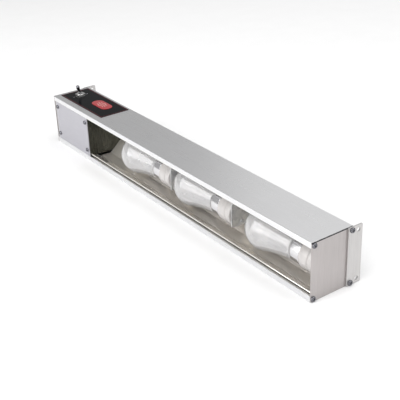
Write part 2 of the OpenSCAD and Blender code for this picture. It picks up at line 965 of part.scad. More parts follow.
// Crimped caps on the ends of the socket leads, beside the trunk wires
module wire_splices() {
    color([0.85, 0.8, 0.65]) to_frame() on_lead(lead_run) {
        cylinder(h = splice_l, r = splice_r, $fn = 32);
    }
}

module trunk_wire(y) {
    to_frame() {
        translate([trunk_start, y, trunk_z])
            face_right()
                cylinder(h = trunk_end - trunk_start, r = wire_r, $fn = 32);
        translate([trunk_start, y, trunk_z + trunk_turn])
            rotate([-90, 0, 0])
                rotate([0, 0, 90])
                    rotate_extrude(angle = 90, $fn = 64)
                        translate([trunk_turn, 0])
                            circle(wire_r, $fn = 32);
        translate([trunk_start - trunk_turn, y, trunk_z + trunk_turn])
            cylinder(h = block_z - trunk_z - trunk_turn, r = wire_r, $fn = 32);
    }
}

module trunk_wire_line() {
    color([0.1, 0.1, 0.1]) trunk_wire(trunk_ys[0]);
}

module trunk_wire_neutral() {
    color([0.92, 0.92, 0.9]) trunk_wire(trunk_ys[1]);
}

module terminal_block() {
    color([0.93, 0.9, 0.82]) to_frame() translate([block_x, block_y, block_z]) difference() {
        union() {
            cube([block_l, block_d, block_h - 4]);
            for (i = [0 : 2]) {
                translate([i * block_step + 1, 1, 0])
                    cube([block_l - 2 * block_step - 2, block_d - 2, block_h]);
            }
        }
        for (i = [0 : 2], y = [well_y, block_d - well_y]) {
            translate([i * block_step + well_x, y, block_h - well_depth])
                cylinder(h = well_depth + eps, r = well_r, $fn = 32);
        }
    }
}

module terminal_screws() {
    color("gold") to_frame() for (i = [0 : 2], y = [well_y, block_d - well_y]) {
        translate([block_x + i * block_step + well_x, block_y + y, block_z + block_h - well_depth])
            difference() {
                cylinder(h = 2, r = well_r - 0.2, $fn = 32);
                translate([-2.5, -0.35, 1.2]) cube([5, 0.7, 1]);
            }
    }
}

module ground_screw() {
    color("seagreen") to_frame() translate([ground_x, rear_in, ground_z]) face_front() {
        cylinder(h = ground_head_h, r = ground_head_r, $fn = 6);
        translate([0, 0, -wall]) cylinder(h = wall, r = small_shank_r, $fn = 32);
    }
}

housing();
reflector();
end_plate_left();
end_plate_right();
mounting_bracket_left();
mounting_bracket_right();
end_screws();
control_cover();
cover_screws();
cover_flange();
partition();
control_label();
badge();
data_plate();
switch_body();
switch_bushing();
switch_washer();
switch_nut();
toggle_lever();
switch_terminals();
bulb_glass(lamp_a_x);  // bulb_glass_a
bulb_glass(lamp_b_x);  // bulb_glass_b
bulb_glass(lamp_c_x);  // bulb_glass_c
bulb_base(lamp_a_x);  // bulb_base_a
bulb_base(lamp_b_x);  // bulb_base_b
bulb_base(lamp_c_x);  // bulb_base_c
bulb_insulator(lamp_a_x);  // bulb_insulator_a
bulb_insulator(lamp_b_x);  // bulb_insulator_b
bulb_insulator(lamp_c_x);  // bulb_insulator_c
bulb_contact(lamp_a_x);  // bulb_contact_a
bulb_contact(lamp_b_x);  // bulb_contact_b
bulb_contact(lamp_c_x);  // bulb_contact_c
filament(lamp_a_x);  // filament_a
filament(lamp_b_x);  // filament_b
filament(lamp_c_x);  // filament_c
socket_body(lamp_a_x);  // socket_body_a
socket_body(lamp_b_x);  // socket_body_b
socket_body(lamp_c_x);  // socket_body_c
socket_shell(lamp_a_x);  // socket_shell_a
socket_shell(lamp_b_x);  // socket_shell_b
socket_shell(lamp_c_x);  // socket_shell_c
socket_bracket(lamp_a_x);  // socket_bracket_a
socket_bracket(lamp_b_x);  // socket_bracket_b
socket_bracket(lamp_c_x);  // socket_bracket_c
socket_screws();
bracket_screws();
reflector_rivets();
wire_grommets();
socket_leads();
wire_splices();
trunk_wire_line();
trunk_wire_neutral();
terminal_block();
terminal_screws();
ground_screw();
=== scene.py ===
"""Looks of the strip display warmer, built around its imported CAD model.

Everything is in metres, in the model's own frame: +X runs along the channel away from the
switch box, -Y is the open front, and +Z is the side that carries the switch. Sizes held by
the classes are in millimetres and are turned to metres where a mesh is made.
"""

import logging
import math
from collections.abc import Callable, Iterable, Sequence
from dataclasses import dataclass, field
from enum import Enum

import bmesh
import bpy
from mathutils import Euler, Matrix, Vector

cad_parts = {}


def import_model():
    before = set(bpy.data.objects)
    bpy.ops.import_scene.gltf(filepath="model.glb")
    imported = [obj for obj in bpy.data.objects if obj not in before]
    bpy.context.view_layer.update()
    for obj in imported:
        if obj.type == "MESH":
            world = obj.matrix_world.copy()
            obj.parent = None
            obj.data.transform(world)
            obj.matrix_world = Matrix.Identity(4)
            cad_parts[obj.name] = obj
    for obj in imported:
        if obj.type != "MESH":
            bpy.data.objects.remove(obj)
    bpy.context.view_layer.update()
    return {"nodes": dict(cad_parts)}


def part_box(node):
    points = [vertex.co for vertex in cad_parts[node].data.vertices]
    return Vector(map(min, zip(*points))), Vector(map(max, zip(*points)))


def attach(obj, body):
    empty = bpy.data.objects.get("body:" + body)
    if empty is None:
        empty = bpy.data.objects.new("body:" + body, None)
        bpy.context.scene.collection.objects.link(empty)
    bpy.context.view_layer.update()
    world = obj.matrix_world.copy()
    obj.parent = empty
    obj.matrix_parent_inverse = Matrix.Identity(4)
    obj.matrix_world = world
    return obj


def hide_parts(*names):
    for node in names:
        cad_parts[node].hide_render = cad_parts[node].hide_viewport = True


LOG = logging.getLogger("warmer")
MM = 0.001
SHARP_ANGLE = math.radians(38)
SAME_POINT = 1e-7
NO_RADIUS = 1e-9
# Most of a noise pattern's values lie between these two.
PATTERN_LOW, PATTERN_HIGH = 0.3, 0.7

Outline = list[tuple[float, float]]
Bend = Callable[[float, float, float], tuple[float, float]]
Output = bpy.types.NodeSocket


class Body(Enum):
    """The bodies of the model that a piece can ride on."""

    FIXED = "root"
    LEVER = "toggle"
    LAMP_A = "bulb_a"
    LAMP_B = "bulb_b"
    LAMP_C = "bulb_c"


class Lay(Enum):
    """The way that a surface's fine lines run, as how much a pattern is stretched on X, Y, Z."""

    LENGTHWISE = (60.0, 1.0, 1.0)
    UPRIGHT = (1.0, 1.0, 60.0)
    EVEN = (1.0, 1.0, 1.0)


def linear(colour: str) -> tuple[float, float, float, float]:
    """Turns an sRGB hex colour into linear colour.

    Args:
        colour: The colour as #RRGGBB.

    Returns:
        Linear red, green, blue and an alpha of 1.
    """
    parts = []
    for start in (1, 3, 5):
        value = int(colour[start : start + 2], 16) / 255
        parts.append(value / 12.92 if value <= 0.04045 else ((value + 0.055) / 1.055) ** 2.4)
    return (parts[0], parts[1], parts[2], 1.0)


def add_node(
    tree: bpy.types.NodeTree,
    kind: str,
    sockets: dict[str | int, object] | None = None,
    **settings: object,
) -> bpy.types.Node:
    """Adds a node with its settings and links.

    Args:
        tree: The node tree to add to.
        kind: The node's type name.
        sockets: A value, or an output to link from, for each input.
        settings: The node's own properties.

    Returns:
        The new node.
    """
    node = tree.nodes.new(kind)
    for name, value in settings.items():
        setattr(node, name, value)
    for key, value in (sockets or {}).items():
        if isinstance(value, bpy.types.NodeSocket):
            tree.links.new(value, node.inputs[key])
        else:
            node.inputs[key].default_value = value
    return node


@dataclass
class Surface:
    """A material's node tree and its shader, with the steps that all finishes share."""

    tree: bpy.types.NodeTree
    shader: bpy.types.Node

    def place(self) -> Output:
        """Gives the position on the piece itself."""
        return add_node(self.tree, "ShaderNodeTexCoord").outputs["Object"]

    def pattern(self, size_mm: float, lay: Lay = Lay.EVEN, detail: float = 3.0) -> Output:
        """Makes a soft random pattern with marks of a real size.

        Args:
            size_mm: The width of one mark.
            lay: The way the marks are drawn out.
            detail: How many finer layers it has.

        Returns:
            The pattern's value, near 0.5 on average.
        """
        scale = [1 / (size_mm * MM * stretch) for stretch in lay.value]
        spread = add_node(self.tree, "ShaderNodeMapping", {"Vector": self.place(), "Scale": scale})
        sockets = {"Vector": spread.outputs[0], "Scale": 1.0, "Detail": detail, "Roughness": 0.55}
        return add_node(self.tree, "ShaderNodeTexNoise", sockets).outputs[0]

    def ramp(self, value: Output, low: float, high: float) -> Output:
        """Spreads a pattern's middle range over two limits.

        Args:
            value: The pattern.
            low: The result where the pattern is weak.
            high: The result where it is strong.

        Returns:
            The spread value.
        """
        limits = {"From Min": PATTERN_LOW, "From Max": PATTERN_HIGH, "To Min": low, "To Max": high}
        return add_node(self.tree, "ShaderNodeMapRange", {"Value": value, **limits}).outputs[0]

    def blend(self, factor: Output, first: object, second: object) -> Output:
        """Mixes two colours by a pattern.

        Args:
            factor: 0 for the first colour and 1 for the second.
            first: A colour or an output.
            second: A colour or an output.

        Returns:
            The mixed colour.
        """
        sockets = {0: factor, 6: first, 7: second}
        return add_node(self.tree, "ShaderNodeMix", sockets, data_type="RGBA").outputs[2]

    def link(self, name: str, value: Output) -> None:
        """Links a value to one of the shader's sockets."""
        self.tree.links.new(value, self.shader.inputs[name])

    def fix(self, values: dict[str, float]) -> None:
        """Sets the shader's sockets that are the same all over the surface."""
        for name, value in values.items():
            self.shader.inputs[name].default_value = value

    def relief(self, layers: Sequence[tuple[Output, float]], edge_mm: float = 0.0) -> None:
        """Raises patterns from the surface, and rounds its edges.

        Args:
            layers: Each pattern with its depth in millimetres.
            edge_mm: The radius that catches the light along edges.
        """
        normal = None
        if edge_mm:
            bevel = add_node(self.tree, "ShaderNodeBevel", {"Radius": edge_mm * MM}, samples=4)
            normal = bevel.outputs[0]
        for height, depth in layers:
            sockets = {"Height": height, "Distance": depth * MM, "Strength": 1.0}
            if normal is not None:
                sockets["Normal"] = normal
            normal = add_node(self.tree, "ShaderNodeBump", sockets).outputs[0]
        self.link("Normal", normal)


@dataclass(frozen=True)
class Finish:
    """A surface, by the material it is made of and the way it was made."""

    name: str
    colour: str
    second: str
    roughness: float
    metallic: float = 0.0

    def material(self) -> bpy.types.Material:
        """Gives the finish's material and makes it on first use.

        Returns:
            The material.
        """
        found = bpy.data.materials.get(self.name)
        if found is not None:
            return found
        material = bpy.data.materials.new(self.name)
        material.use_nodes = True
        material.diffuse_color = linear(self.colour)
        tree = material.node_tree
        tree.nodes.clear()
        sockets = {"Metallic": self.metallic, "Roughness": self.roughness}
        shader = add_node(tree, "ShaderNodeBsdfPrincipled", sockets)
        add_node(tree, "ShaderNodeOutputMaterial", {"Surface": shader.outputs[0]})
        self.dress(Surface(tree, shader))
        return material

    def dress(self, surface: Surface) -> None:
        """Adds the finish's own detail; the plain finish has a faint change of tone."""
        self.tone(surface, surface.pattern(4.0))

    def tone(self, surface: Surface, factor: Output) -> None:
        """Colours the surface between the finish's two tones, by a pattern."""
        share = surface.ramp(factor, 0, 1)
        surface.link("Base Color", surface.blend(share, linear(self.colour), linear(self.second)))


@dataclass(frozen=True)
class LinedMetal(Finish):
    """Metal with fine parallel lines from a die, a roller or a brush."""

    metallic: float = 1.0
    lay: Lay = Lay.LENGTHWISE
    line_mm: float = 0.8
    line_depth: float = 0.004
    spread: float = 0.08
    cloud_mm: float = 70.0
    ripple_depth: float = 0.0
    edge_mm: float = 0.35

    def dress(self, surface: Surface) -> None:
        """Draws the lines in tone, gloss and relief, over broad soft clouds.

        Args:
            surface: The surface to dress.
        """
        lines = surface.pattern(self.line_mm, self.lay, 4.0)
        clouds = surface.pattern(self.cloud_mm)
        tree = surface.tree
        both = add_node(tree, "ShaderNodeMath", {0: lines, 1: clouds}, operation="ADD").outputs[0]
        half = add_node(tree, "ShaderNodeMath", {0: both, 1: 0.5}, operation="MULTIPLY").outputs[0]
        self.tone(surface, half)
        low, high = self.roughness - self.spread, self.roughness + self.spread
        surface.link("Roughness", surface.ramp(lines, low, high))
        layers = [(lines, self.line_depth)]
        if self.ripple_depth:
            layers.append((clouds, self.ripple_depth))
        surface.relief(layers, self.edge_mm)


@dataclass(frozen=True)
class ShadowLinedPlate(LinedMetal):
    """Brushed plate with a painted shadow line along its top edge, for the shade of its joint
    under the channel's top.
    """

    # A painted shadow line: its colour, the height where it starts and how softly it fades in.
    shadow_line_colour: str = "#3E3E40"
    shadow_line_from_mm: float = 77.1
    shadow_line_fade_mm: float = 0.1

    def dress(self, surface: Surface) -> None:
        """Brushes the plate, then paints a dark shadow line on it above a set height.

        Args:
            surface: The surface to dress.
        """
        super().dress(surface)
        tree = surface.tree
        brushed = surface.shader.inputs["Base Color"].links[0].from_socket
        height = add_node(tree, "ShaderNodeSeparateXYZ", {0: surface.place()}).outputs[2]
        start = (self.shadow_line_from_mm - self.shadow_line_fade_mm) * MM
        end = (self.shadow_line_from_mm + self.shadow_line_fade_mm) * MM
        sockets = {"Value": height, "From Min": start, "From Max": end}
        # Painted shadow: the plate turns dark above the set height, for the shade of the joint
        # under the channel's top.
        edge = add_node(tree, "ShaderNodeMapRange", sockets).outputs[0]
        surface.link("Base Color", surface.blend(edge, brushed, linear(self.shadow_line_colour)))


@dataclass(frozen=True)
class PlatedMetal(Finish):
    """Small plated or turned metal, bright, with fine handling marks."""

    metallic: float = 1.0
    mark_mm: float = 0.9
    mark_depth: float = 0.004
    edge_mm: float = 0.15

    def dress(self, surface: Surface) -> None:
        """Varies tone and gloss in small patches.

        Args:
            surface: The surface to dress.
        """
        marks = surface.pattern(self.mark_mm)
        self.tone(surface, marks)
        gloss = surface.ramp(marks, self.roughness * 0.75, self.roughness * 1.3)
        surface.link("Roughness", gloss)
        surface.relief([(marks, self.mark_depth)], self.edge_mm)


@dataclass(frozen=True)
class SpangledSteel(Finish):
    """Hot-dip galvanised sheet steel: flat zinc crystals that each catch the light."""

    metallic: float = 1.0
    spangle_mm: float = 5.0
    grain_mm: float = 0.6
    grain_depth: float = 0.004
    edge_mm: float = 0.3

    def dress(self, surface: Surface) -> None:
        """Gives each crystal its own tone and gloss.

        Args:
            surface: The surface to dress.
        """
        sockets = {"Vector": surface.place(), "Scale": 1 / (self.spangle_mm * MM)}
        crystals = add_node(surface.tree, "ShaderNodeTexVoronoi", sockets).outputs["Color"]
        grey = add_node(surface.tree, "ShaderNodeRGBToBW", {0: crystals}).outputs[0]
        self.tone(surface, grey)
        gloss = surface.ramp(grey, self.roughness - 0.06, self.roughness + 0.08)
        surface.link("Roughness", gloss)
        surface.relief([(surface.pattern(self.grain_mm), self.grain_depth)], self.edge_mm)


@dataclass(frozen=True)
class Glass(Finish):
    """Blown glass, clear or milky."""

    clearness: float = 0.3
    ior: float = 1.52
    coat: float = 0.6
    coat_roughness: float = 0.03
    patch_mm: float = 9.0
    wave_mm: float = 22.0
    wave_depth: float = 0.02

    def dress(self, surface: Surface) -> None:
        """Lets some light through, with the slow waves of blown glass.

        Args:
            surface: The surface to dress.
        """
        surface.fix({"IOR": self.ior, "Transmission Weight": self.clearness})
        surface.fix({"Coat Weight": self.coat, "Coat Roughness": self.coat_roughness})
        self.tone(surface, surface.pattern(self.patch_mm))
        surface.relief([(surface.pattern(self.wave_mm), self.wave_depth)])


@dataclass(frozen=True)
class Glaze(Finish):
    """Fired porcelain under a clear glaze, with its faint orange peel and pinholes."""

    coat: float = 0.7
    coat_roughness: float = 0.06
    pool_mm: float = 6.0
    peel_mm: float = 2.2
    peel_depth: float = 0.012

    def dress(self, surface: Surface) -> None:
        """Pools the glaze slightly and pits it with pinholes.

        Args:
            surface: The surface to dress.
        """
        surface.fix({"Coat Weight": self.coat, "Coat Roughness": self.coat_roughness})
        self.tone(surface, surface.pattern(self.pool_mm))
        surface.relief([(surface.pattern(self.peel_mm), self.peel_depth)])


@dataclass(frozen=True)
class Moulded(Finish):
    """Moulded or coated plastic, rubber and ink, with a fine even grain."""

    grain_mm: float = 0.7
    grain_depth: float = 0.008
    coat: float = 0.0
    coat_roughness: float = 0.05
    shine: float = 0.5
    edge_mm: float = 0.2

    def dress(self, surface: Surface) -> None:
        """Adds the grain to tone, gloss and relief.

        Args:
            surface: The surface to dress.
        """
        surface.fix({"Specular IOR Level": self.shine})
        surface.fix({"Coat Weight": self.coat, "Coat Roughness": self.coat_roughness})
        grain = surface.pattern(self.grain_mm)
        self.tone(surface, grain)
        gloss = surface.ramp(grain, self.roughness * 0.85, self.roughness * 1.2)
        surface.link("Roughness", gloss)
        surface.relief([(grain, self.grain_depth)], self.edge_mm)


@dataclass(frozen=True)
class Braid(Finish):
    """Woven glass-fibre sleeve: strands that cross on the slant."""

    strand_mm: float = 0.8
    strand_depth: float = 0.12
    slant: float = 45.0

    def dress(self, surface: Surface) -> None:
        """Crosses two sets of slanted strands.

        Args:
            surface: The surface to dress.
        """
        tree, place = surface.tree, surface.place()
        crossed = {}
        for index, slant in enumerate((self.slant, -self.slant)):
            turn = (0, math.radians(slant), 0.6)
            spread = add_node(tree, "ShaderNodeMapping", {"Vector": place, "Rotation": turn})
            sockets = {"Vector": spread.outputs[0], "Scale": 1 / (3 * self.strand_mm * MM)}
            crossed[index] = add_node(tree, "ShaderNodeTexWave", sockets).outputs[1]
        over = add_node(tree, "ShaderNodeMath", crossed, operation="MAXIMUM").outputs[0]
        self.tone(surface, over)
        surface.relief([(over, self.strand_depth)])


# Extruded 6063 aluminium with a clear anodised skin: a soft grey with faint die lines along it.
EXTRUSION = LinedMetal(
    "extruded_aluminium_anodised", "#EBEBEC", "#E5E5E6", 0.3, line_mm=0.9, line_depth=0.0015,
    spread=0.04
)
# Bright-rolled aluminium reflector sheet: part mirror and part soft white, with slow ripples
# that bend reflections.
MIRROR = LinedMetal(
    "rolled_aluminium_polished", "#F8F4EE", "#F0EBE3", 0.08, metallic=0.7, line_mm=0.5,
    line_depth=0.002, spread=0.05, cloud_mm=38.0, ripple_depth=0.12, edge_mm=0.2
)
# Aluminium plate brushed upright: warm grey, short upright streaks and a painted shadow line along
# the top edge.
BRUSHED = ShadowLinedPlate(
    "brushed_aluminium_plate", "#BDB8B7", "#AFAAA9", 0.36, lay=Lay.UPRIGHT, line_mm=0.5,
    line_depth=0.006
)
# The hanging brackets are cut from brushed stock too, a little paler.
BRACKET = LinedMetal(
    "brushed_aluminium_bracket", "#D2D0CF", "#BFBDBC", 0.38, lay=Lay.UPRIGHT, line_mm=0.5,
    line_depth=0.006
)
# Satin aluminium sheet with an even fine lay: the cover reads flat, pale and slightly cool.
SATIN = LinedMetal(
    "satin_aluminium_sheet", "#C1C0C5", "#BAB9BF", 0.46, line_mm=0.35, line_depth=0.0015,
    spread=0.03
)
# Galvanised sheet steel: small parts inside show dull crystals of zinc.
ZINC_SHEET = SpangledSteel("galvanised_sheet_steel", "#ECEDED", "#DADBDC", 0.45)
# Dark grey steel for the partition: its dark colour takes the light out of the trough's dark end.
DARK_PARTITION_STEEL = LinedMetal(
    "dark_grey_partition_steel", "#62635C", "#53544D", 0.3, lay=Lay.UPRIGHT, line_mm=0.9, spread=0.05
)
# Nickel-plated screws: sharp, with their dark reflections painted in as a fairly dark base colour,
# and small bright points.
SCREW = PlatedMetal("nickel_plated_screw", "#85858A", "#6C6C71", 0.08)
# Zinc-plated screws inside the trough: pale and slightly soft.
ZINC_SCREW = PlatedMetal("zinc_plated_screw", "#DADBDC", "#C6C7C9", 0.3)
# Bright chrome on the switch's bushing, washer and nut.
CHROME = PlatedMetal("chrome_plated_brass", "#D6D5D4", "#C8C7C7", 0.13, mark_mm=1.6)
# The lever's chrome, with the black label's reflection painted in as a much darker base colour.
LEVER_CHROME_PAINTED_REFLECTION = PlatedMetal("polished_lever_chrome", "#86868A", "#6E6E72", 0.12, mark_mm=2.0)
# Polycarbonate overlay, printed black on its back: deep black with few reflections.
OVERLAY = Moulded(
    "polycarbonate_overlay_black", "#0C0C0E", "#121214", 0.1, grain_mm=1.5, grain_depth=0.001,
    shine=0.04
)
# Screen-printed pale grey ink: thin and slightly chalky.
INK = Moulded("screen_ink_pale", "#B9B9BE", "#A4A4AA", 0.5, grain_mm=0.4, grain_depth=0.003)
# Dark red ink along the overlay's rim.
RED_INK = Moulded("screen_ink_red", "#6B1F2A", "#5A1A23", 0.45, grain_mm=0.4, grain_depth=0.003)
# Poured red resin over a badge: a domed, wet-looking skin.
RESIN = Moulded(
    "poured_resin_red", "#A62229", "#9B1D24", 0.18, grain_mm=3.0, grain_depth=0.004, coat=0.3
)
# Pale resin waves in the red.
RESIN_PALE = Moulded(
    "poured_resin_pale", "#C48883", "#B97D78", 0.3, grain_mm=1.0, grain_depth=0.003, coat=0.3
)
# Anodised foil rating plate: silvery and finely grained.
FOIL = LinedMetal("anodised_foil_plate", "#CDCED0", "#C0C1C3", 0.4, line_mm=0.3, line_depth=0.002)
# Soft-white lamp glass: blown, glossy and milky.
LAMP_GLASS = Glass("soft_white_lamp_glass", "#FFFEFE", "#F4F4F6", 0.06, clearness=0.72)
# Clear lead glass of the stem that carries the filament.
STEM_GLASS = Glass(
    "clear_stem_glass", "#F4F8F5", "#EAF2EE", 0.04, clearness=1.0, patch_mm=4.0, wave_depth=0.01
)
# Rolled aluminium lamp base: bright rolled threads with fine drawing marks.
ROLLED = PlatedMetal("rolled_aluminium_base", "#D7D6D3", "#C4C3C1", 0.24, mark_mm=0.7)
# Nickel-plated socket shell, collar and rivets: brighter and glossier than the lamp base.
SHELL = PlatedMetal("nickel_plated_shell", "#E6E5E6", "#D6D5D7", 0.16, mark_mm=0.8)
# Dark vitrified glass that insulates the lamp's contact.
VITRITE = Moulded(
    "vitrified_black_glass", "#1D1A22", "#262230", 0.14, grain_mm=1.2, grain_depth=0.01, coat=0.4
)
# Tin solder of the contact: dull, lumpy and grey.
SOLDER = PlatedMetal("tin_solder", "#B4B4B6", "#98989B", 0.42, mark_mm=0.6)
# Drawn tungsten and nickel wire inside the lamp: thin grey lines.
WIRE_METAL = PlatedMetal("drawn_lamp_wire", "#77777A", "#626265", 0.35, mark_mm=0.3, edge_mm=0.0)
# Glazed steatite porcelain: warm white with a wet glaze.
PORCELAIN = Glaze("glazed_porcelain", "#C2BEBC", "#B9B6B4", 0.22, coat=0.4)
# Silicone rubber grommets: black and slightly dusty.
RUBBER = Moulded(
    "silicone_rubber_black", "#1B1B1B", "#272727", 0.62, grain_mm=0.5, grain_depth=0.02
)
# Glass-fibre braid over the socket leads: off-white strands, drawn coarser than real ones.
SLEEVE = Braid("glass_fibre_braid", "#E9E4D6", "#C7C0AE", 0.75)
# Extruded PVC on the trunk wires, black and white, with a smooth half-gloss skin.
PVC_BLACK = Moulded(
    "pvc_insulation_black", "#17171A", "#212124", 0.42, grain_mm=1.0, grain_depth=0.01
)
PVC_WHITE = Moulded(
    "pvc_insulation_white", "#E6E5E1", "#D9D8D3", 0.42, grain_mm=1.0, grain_depth=0.01
)
# Nylon terminal block: cream, with a dry moulded skin.
NYLON = Moulded("moulded_nylon_cream", "#E6DDC6", "#DBD1B8", 0.5, grain_mm=0.8, grain_depth=0.015)
# Phenolic switch body: near black with a faint brown fleck.
PHENOLIC = Moulded("moulded_phenolic", "#1F1C1A", "#2C2622", 0.4, grain_mm=0.9, grain_depth=0.015)
# Tinned brass tabs and screws: yellow metal, dulled.
BRASS = PlatedMetal("tinned_brass", "#C9A964", "#B29250", 0.3, mark_mm=0.8)
# Green lacquer marks the ground screw.
GREEN_LACQUER = Moulded(
    "lacquered_ground_screw", "#1F7A4A", "#176A3E", 0.3, grain_mm=0.8, coat=0.5
)
# Crimped splice caps: pale nylon.
SPLICE = Moulded("crimped_nylon_cap", "#D9CFA9", "#CCC199", 0.45, grain_mm=0.6)
# A plain matt pale floor, with clouds too faint and broad to read as a pattern.
FLOOR = Moulded(
    "matt_pale_floor", "#F3F3F3", "#F1F1F1", 0.9, grain_mm=60.0, grain_depth=0.0, edge_mm=0.0
)


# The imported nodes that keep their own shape, by finish.
KEPT_NODES: dict[Finish, tuple[str, ...]] = {
    EXTRUSION: ("housing",),
    BRUSHED: ("end_plate_left", "end_plate_right"),
    BRACKET: ("mounting_bracket_left", "mounting_bracket_right"),
    SATIN: ("control_cover",),
    ZINC_SHEET: ("cover_flange", "socket_bracket_a", "socket_bracket_b", "socket_bracket_c"),
    DARK_PARTITION_STEEL: ("partition",),
    OVERLAY: ("control_label",),
    FOIL: ("data_plate",),
    PHENOLIC: ("switch_body",),
    CHROME: ("switch_washer", "switch_nut"),
    BRASS: ("switch_terminals", "terminal_screws"),
    RUBBER: ("wire_grommets",),
    SLEEVE: ("socket_leads",),
    SPLICE: ("wire_splices",),
    PVC_BLACK: ("trunk_wire_line",),
    PVC_WHITE: ("trunk_wire_neutral",),
    NYLON: ("terminal_block",),
    GREEN_LACQUER: ("ground_screw",),
}


@dataclass
class Shape:
    """Points and faces of one mesh, which grow as parts are added."""

    points: list[Vector] = field(default_factory=list)
    faces: list[tuple[int, ...]] = field(default_factory=list)

    def join(self, rings: Sequence[Sequence[int]], wrap: bool) -> None:
        """Fills the strips between neighbouring rings of points.

        Args:
            rings: Rings of point numbers; a ring of one point is a pole.
            wrap: Whether the last ring also joins the first.
        """
        pairs = list(zip(rings, rings[1:]))
        if wrap:
            pairs.append((rings[-1], rings[0]))
        for one, two in pairs:
            count = max(len(one), len(two))
            for k in range(count):
                n = (k + 1) % count
                if len(one) == 1 and len(two) > 1:
                    self.faces.append((one[0], two[n], two[k]))
                elif len(two) == 1 and len(one) > 1:
                    self.faces.append((one[k], one[n], two[0]))
                elif len(one) > 1:
                    self.faces.append((one[k], one[n], two[n], two[k]))

    def ring(self, points: Iterable[Vector]) -> list[int]:
        """Adds points and gives their numbers.

        Args:
            points: The points, in metres.

        Returns:
            The numbers of the new points.
        """
        start = len(self.points)
        self.points.extend(points)
        return list(range(start, len(self.points)))

    def spin(
        self,
        outline: Outline,
        place: Matrix,
        steps: int = 72,
        wrap: bool = False,
        bend: Bend | None = None,
    ) -> None:
        """Turns an outline of (radius, height) in millimetres about its own Z axis.

        Args:
            outline: The outline; a radius of 0 makes a pole.
            place: Where the part goes, in metres.
            steps: The number of points around.
            wrap: Whether the outline's end joins its start.
            bend: Gives a changed radius and height from angle, radius and height.
        """
        rings = []
        for radius, height in outline:
            turns = [0.0] if radius < NO_RADIUS else evenly(math.tau, steps)[:-1]
            ring = []
            for turn in turns:
                r, h = bend(turn, radius, height) if bend else (radius, height)
                ring.append(place @ (Vector((r * math.cos(turn), r * math.sin(turn), h)) * MM))
            rings.append(self.ring(ring))
        self.join(rings, wrap)

    def tube(self, path: Sequence[Vector], radius: float, steps: int = 10) -> None:
        """Runs a round wire along a path.

        Args:
            path: The middle of the wire, in metres.
            radius: Its radius in millimetres.
            steps: The number of points around.
        """
        side = (path[1] - path[0]).orthogonal().normalized()
        rings = [self.ring([path[0]])]
        for i, point in enumerate(path):
            along = (path[min(i + 1, len(path) - 1)] - path[max(i - 1, 0)]).normalized()
            side = (side - along * side.dot(along)).normalized()
            other = along.cross(side)
            loop = []
            for turn in evenly(math.tau, steps)[:-1]:
                out = side * math.cos(turn) + other * math.sin(turn)
                loop.append(point + out * radius * MM)
            rings.append(self.ring(loop))
        rings.append(self.ring([path[-1]]))
        self.join(rings, False)

    def layer(self, loops: Sequence[Sequence[Vector]], wrap: bool = False) -> None:
        """Joins loops of equal length into a closed skin, with a cap at each end.

        Args:
            loops: Loops of points in metres, in order.
            wrap: Whether the last loop joins the first, with no caps.
        """
        rings = [self.ring(loop) for loop in loops]
        self.join(rings, wrap)
        if not wrap:
            self.faces.append(tuple(reversed(rings[0])))
            self.faces.append(tuple(rings[-1]))

    def piece(
        self, name: str, finish: Finish, body: Body, slot: str, nodes: Sequence[str] = ()
    ) -> bpy.types.Object:
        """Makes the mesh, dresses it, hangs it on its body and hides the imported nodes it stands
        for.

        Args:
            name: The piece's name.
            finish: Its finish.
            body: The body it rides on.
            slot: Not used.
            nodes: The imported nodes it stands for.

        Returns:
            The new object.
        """
        mesh = bpy.data.meshes.new(name)
        mesh.from_pydata([tuple(p) for p in self.points], [], self.faces)
        work = bmesh.new()
        work.from_mesh(mesh)
        bmesh.ops.remove_doubles(work, verts=work.verts, dist=SAME_POINT)
        bmesh.ops.recalc_face_normals(work, faces=work.faces)
        work.to_mesh(mesh)
        work.free()
        mesh.shade_smooth()
        mesh.set_sharp_from_angle(angle=SHARP_ANGLE)
        mesh.materials.append(finish.material())
        made = bpy.data.objects.new(name, mesh)
        bpy.context.scene.collection.objects.link(made)
        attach(made, body.value)
        if nodes:
            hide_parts(*nodes)
        LOG.info("%s: %d faces, %s, on %s", name, len(mesh.polygons), finish.name, body.value)
        return made


def evenly(end: float, count: int) -> list[float]:
    """Gives evenly spaced values from 0 to an end, both among them."""
    return [end * k / count for k in range(count + 1)]


def facing(direction: Sequence[float], place: Sequence[float]) -> Matrix:
    """Gives the matrix that points a part's Z axis along a direction.

    Args:
        direction: Where the axis points.
        place: The part's own origin, in metres.

    Returns:
        The matrix.
    """
    turn = Vector((0, 0, 1)).rotation_difference(Vector(direction)).to_matrix().to_4x4()
    return Matrix.Translation(Vector(place)) @ turn


def arc(centre: Sequence[float], radius: float, start: float, end: float, steps: int) -> Outline:
    """Gives points on an arc.

    Args:
        centre: The arc's centre.
        radius: Its radius.
        start: The first angle in degrees.
        end: The last angle in degrees.
        steps: The number of spans.

    Returns:
        The points, both ends among them.
    """
    turns = [math.radians(start + turn) for turn in evenly(end - start, steps)]
    return [(centre[0] + radius * math.cos(t), centre[1] + radius * math.sin(t)) for t in turns]


def rounded_rectangle(width: float, height: float, radius: float, steps: int = 10) -> Outline:
    """Gives the outline of a rounded rectangle about its centre.

    Args:
        width: Its size on the first axis.
        height: Its size on the second axis.
        radius: The corner radius.
        steps: The number of spans at each corner.

    Returns:
        The outline's points.
    """
    x, y = width / 2 - radius, height / 2 - radius
    corners = [((x, y), 0), ((-x, y), 90), ((-x, -y), 180), ((x, -y), 270)]
    return [p for centre, turn in corners for p in arc(centre, radius, turn, turn + 90, steps)]


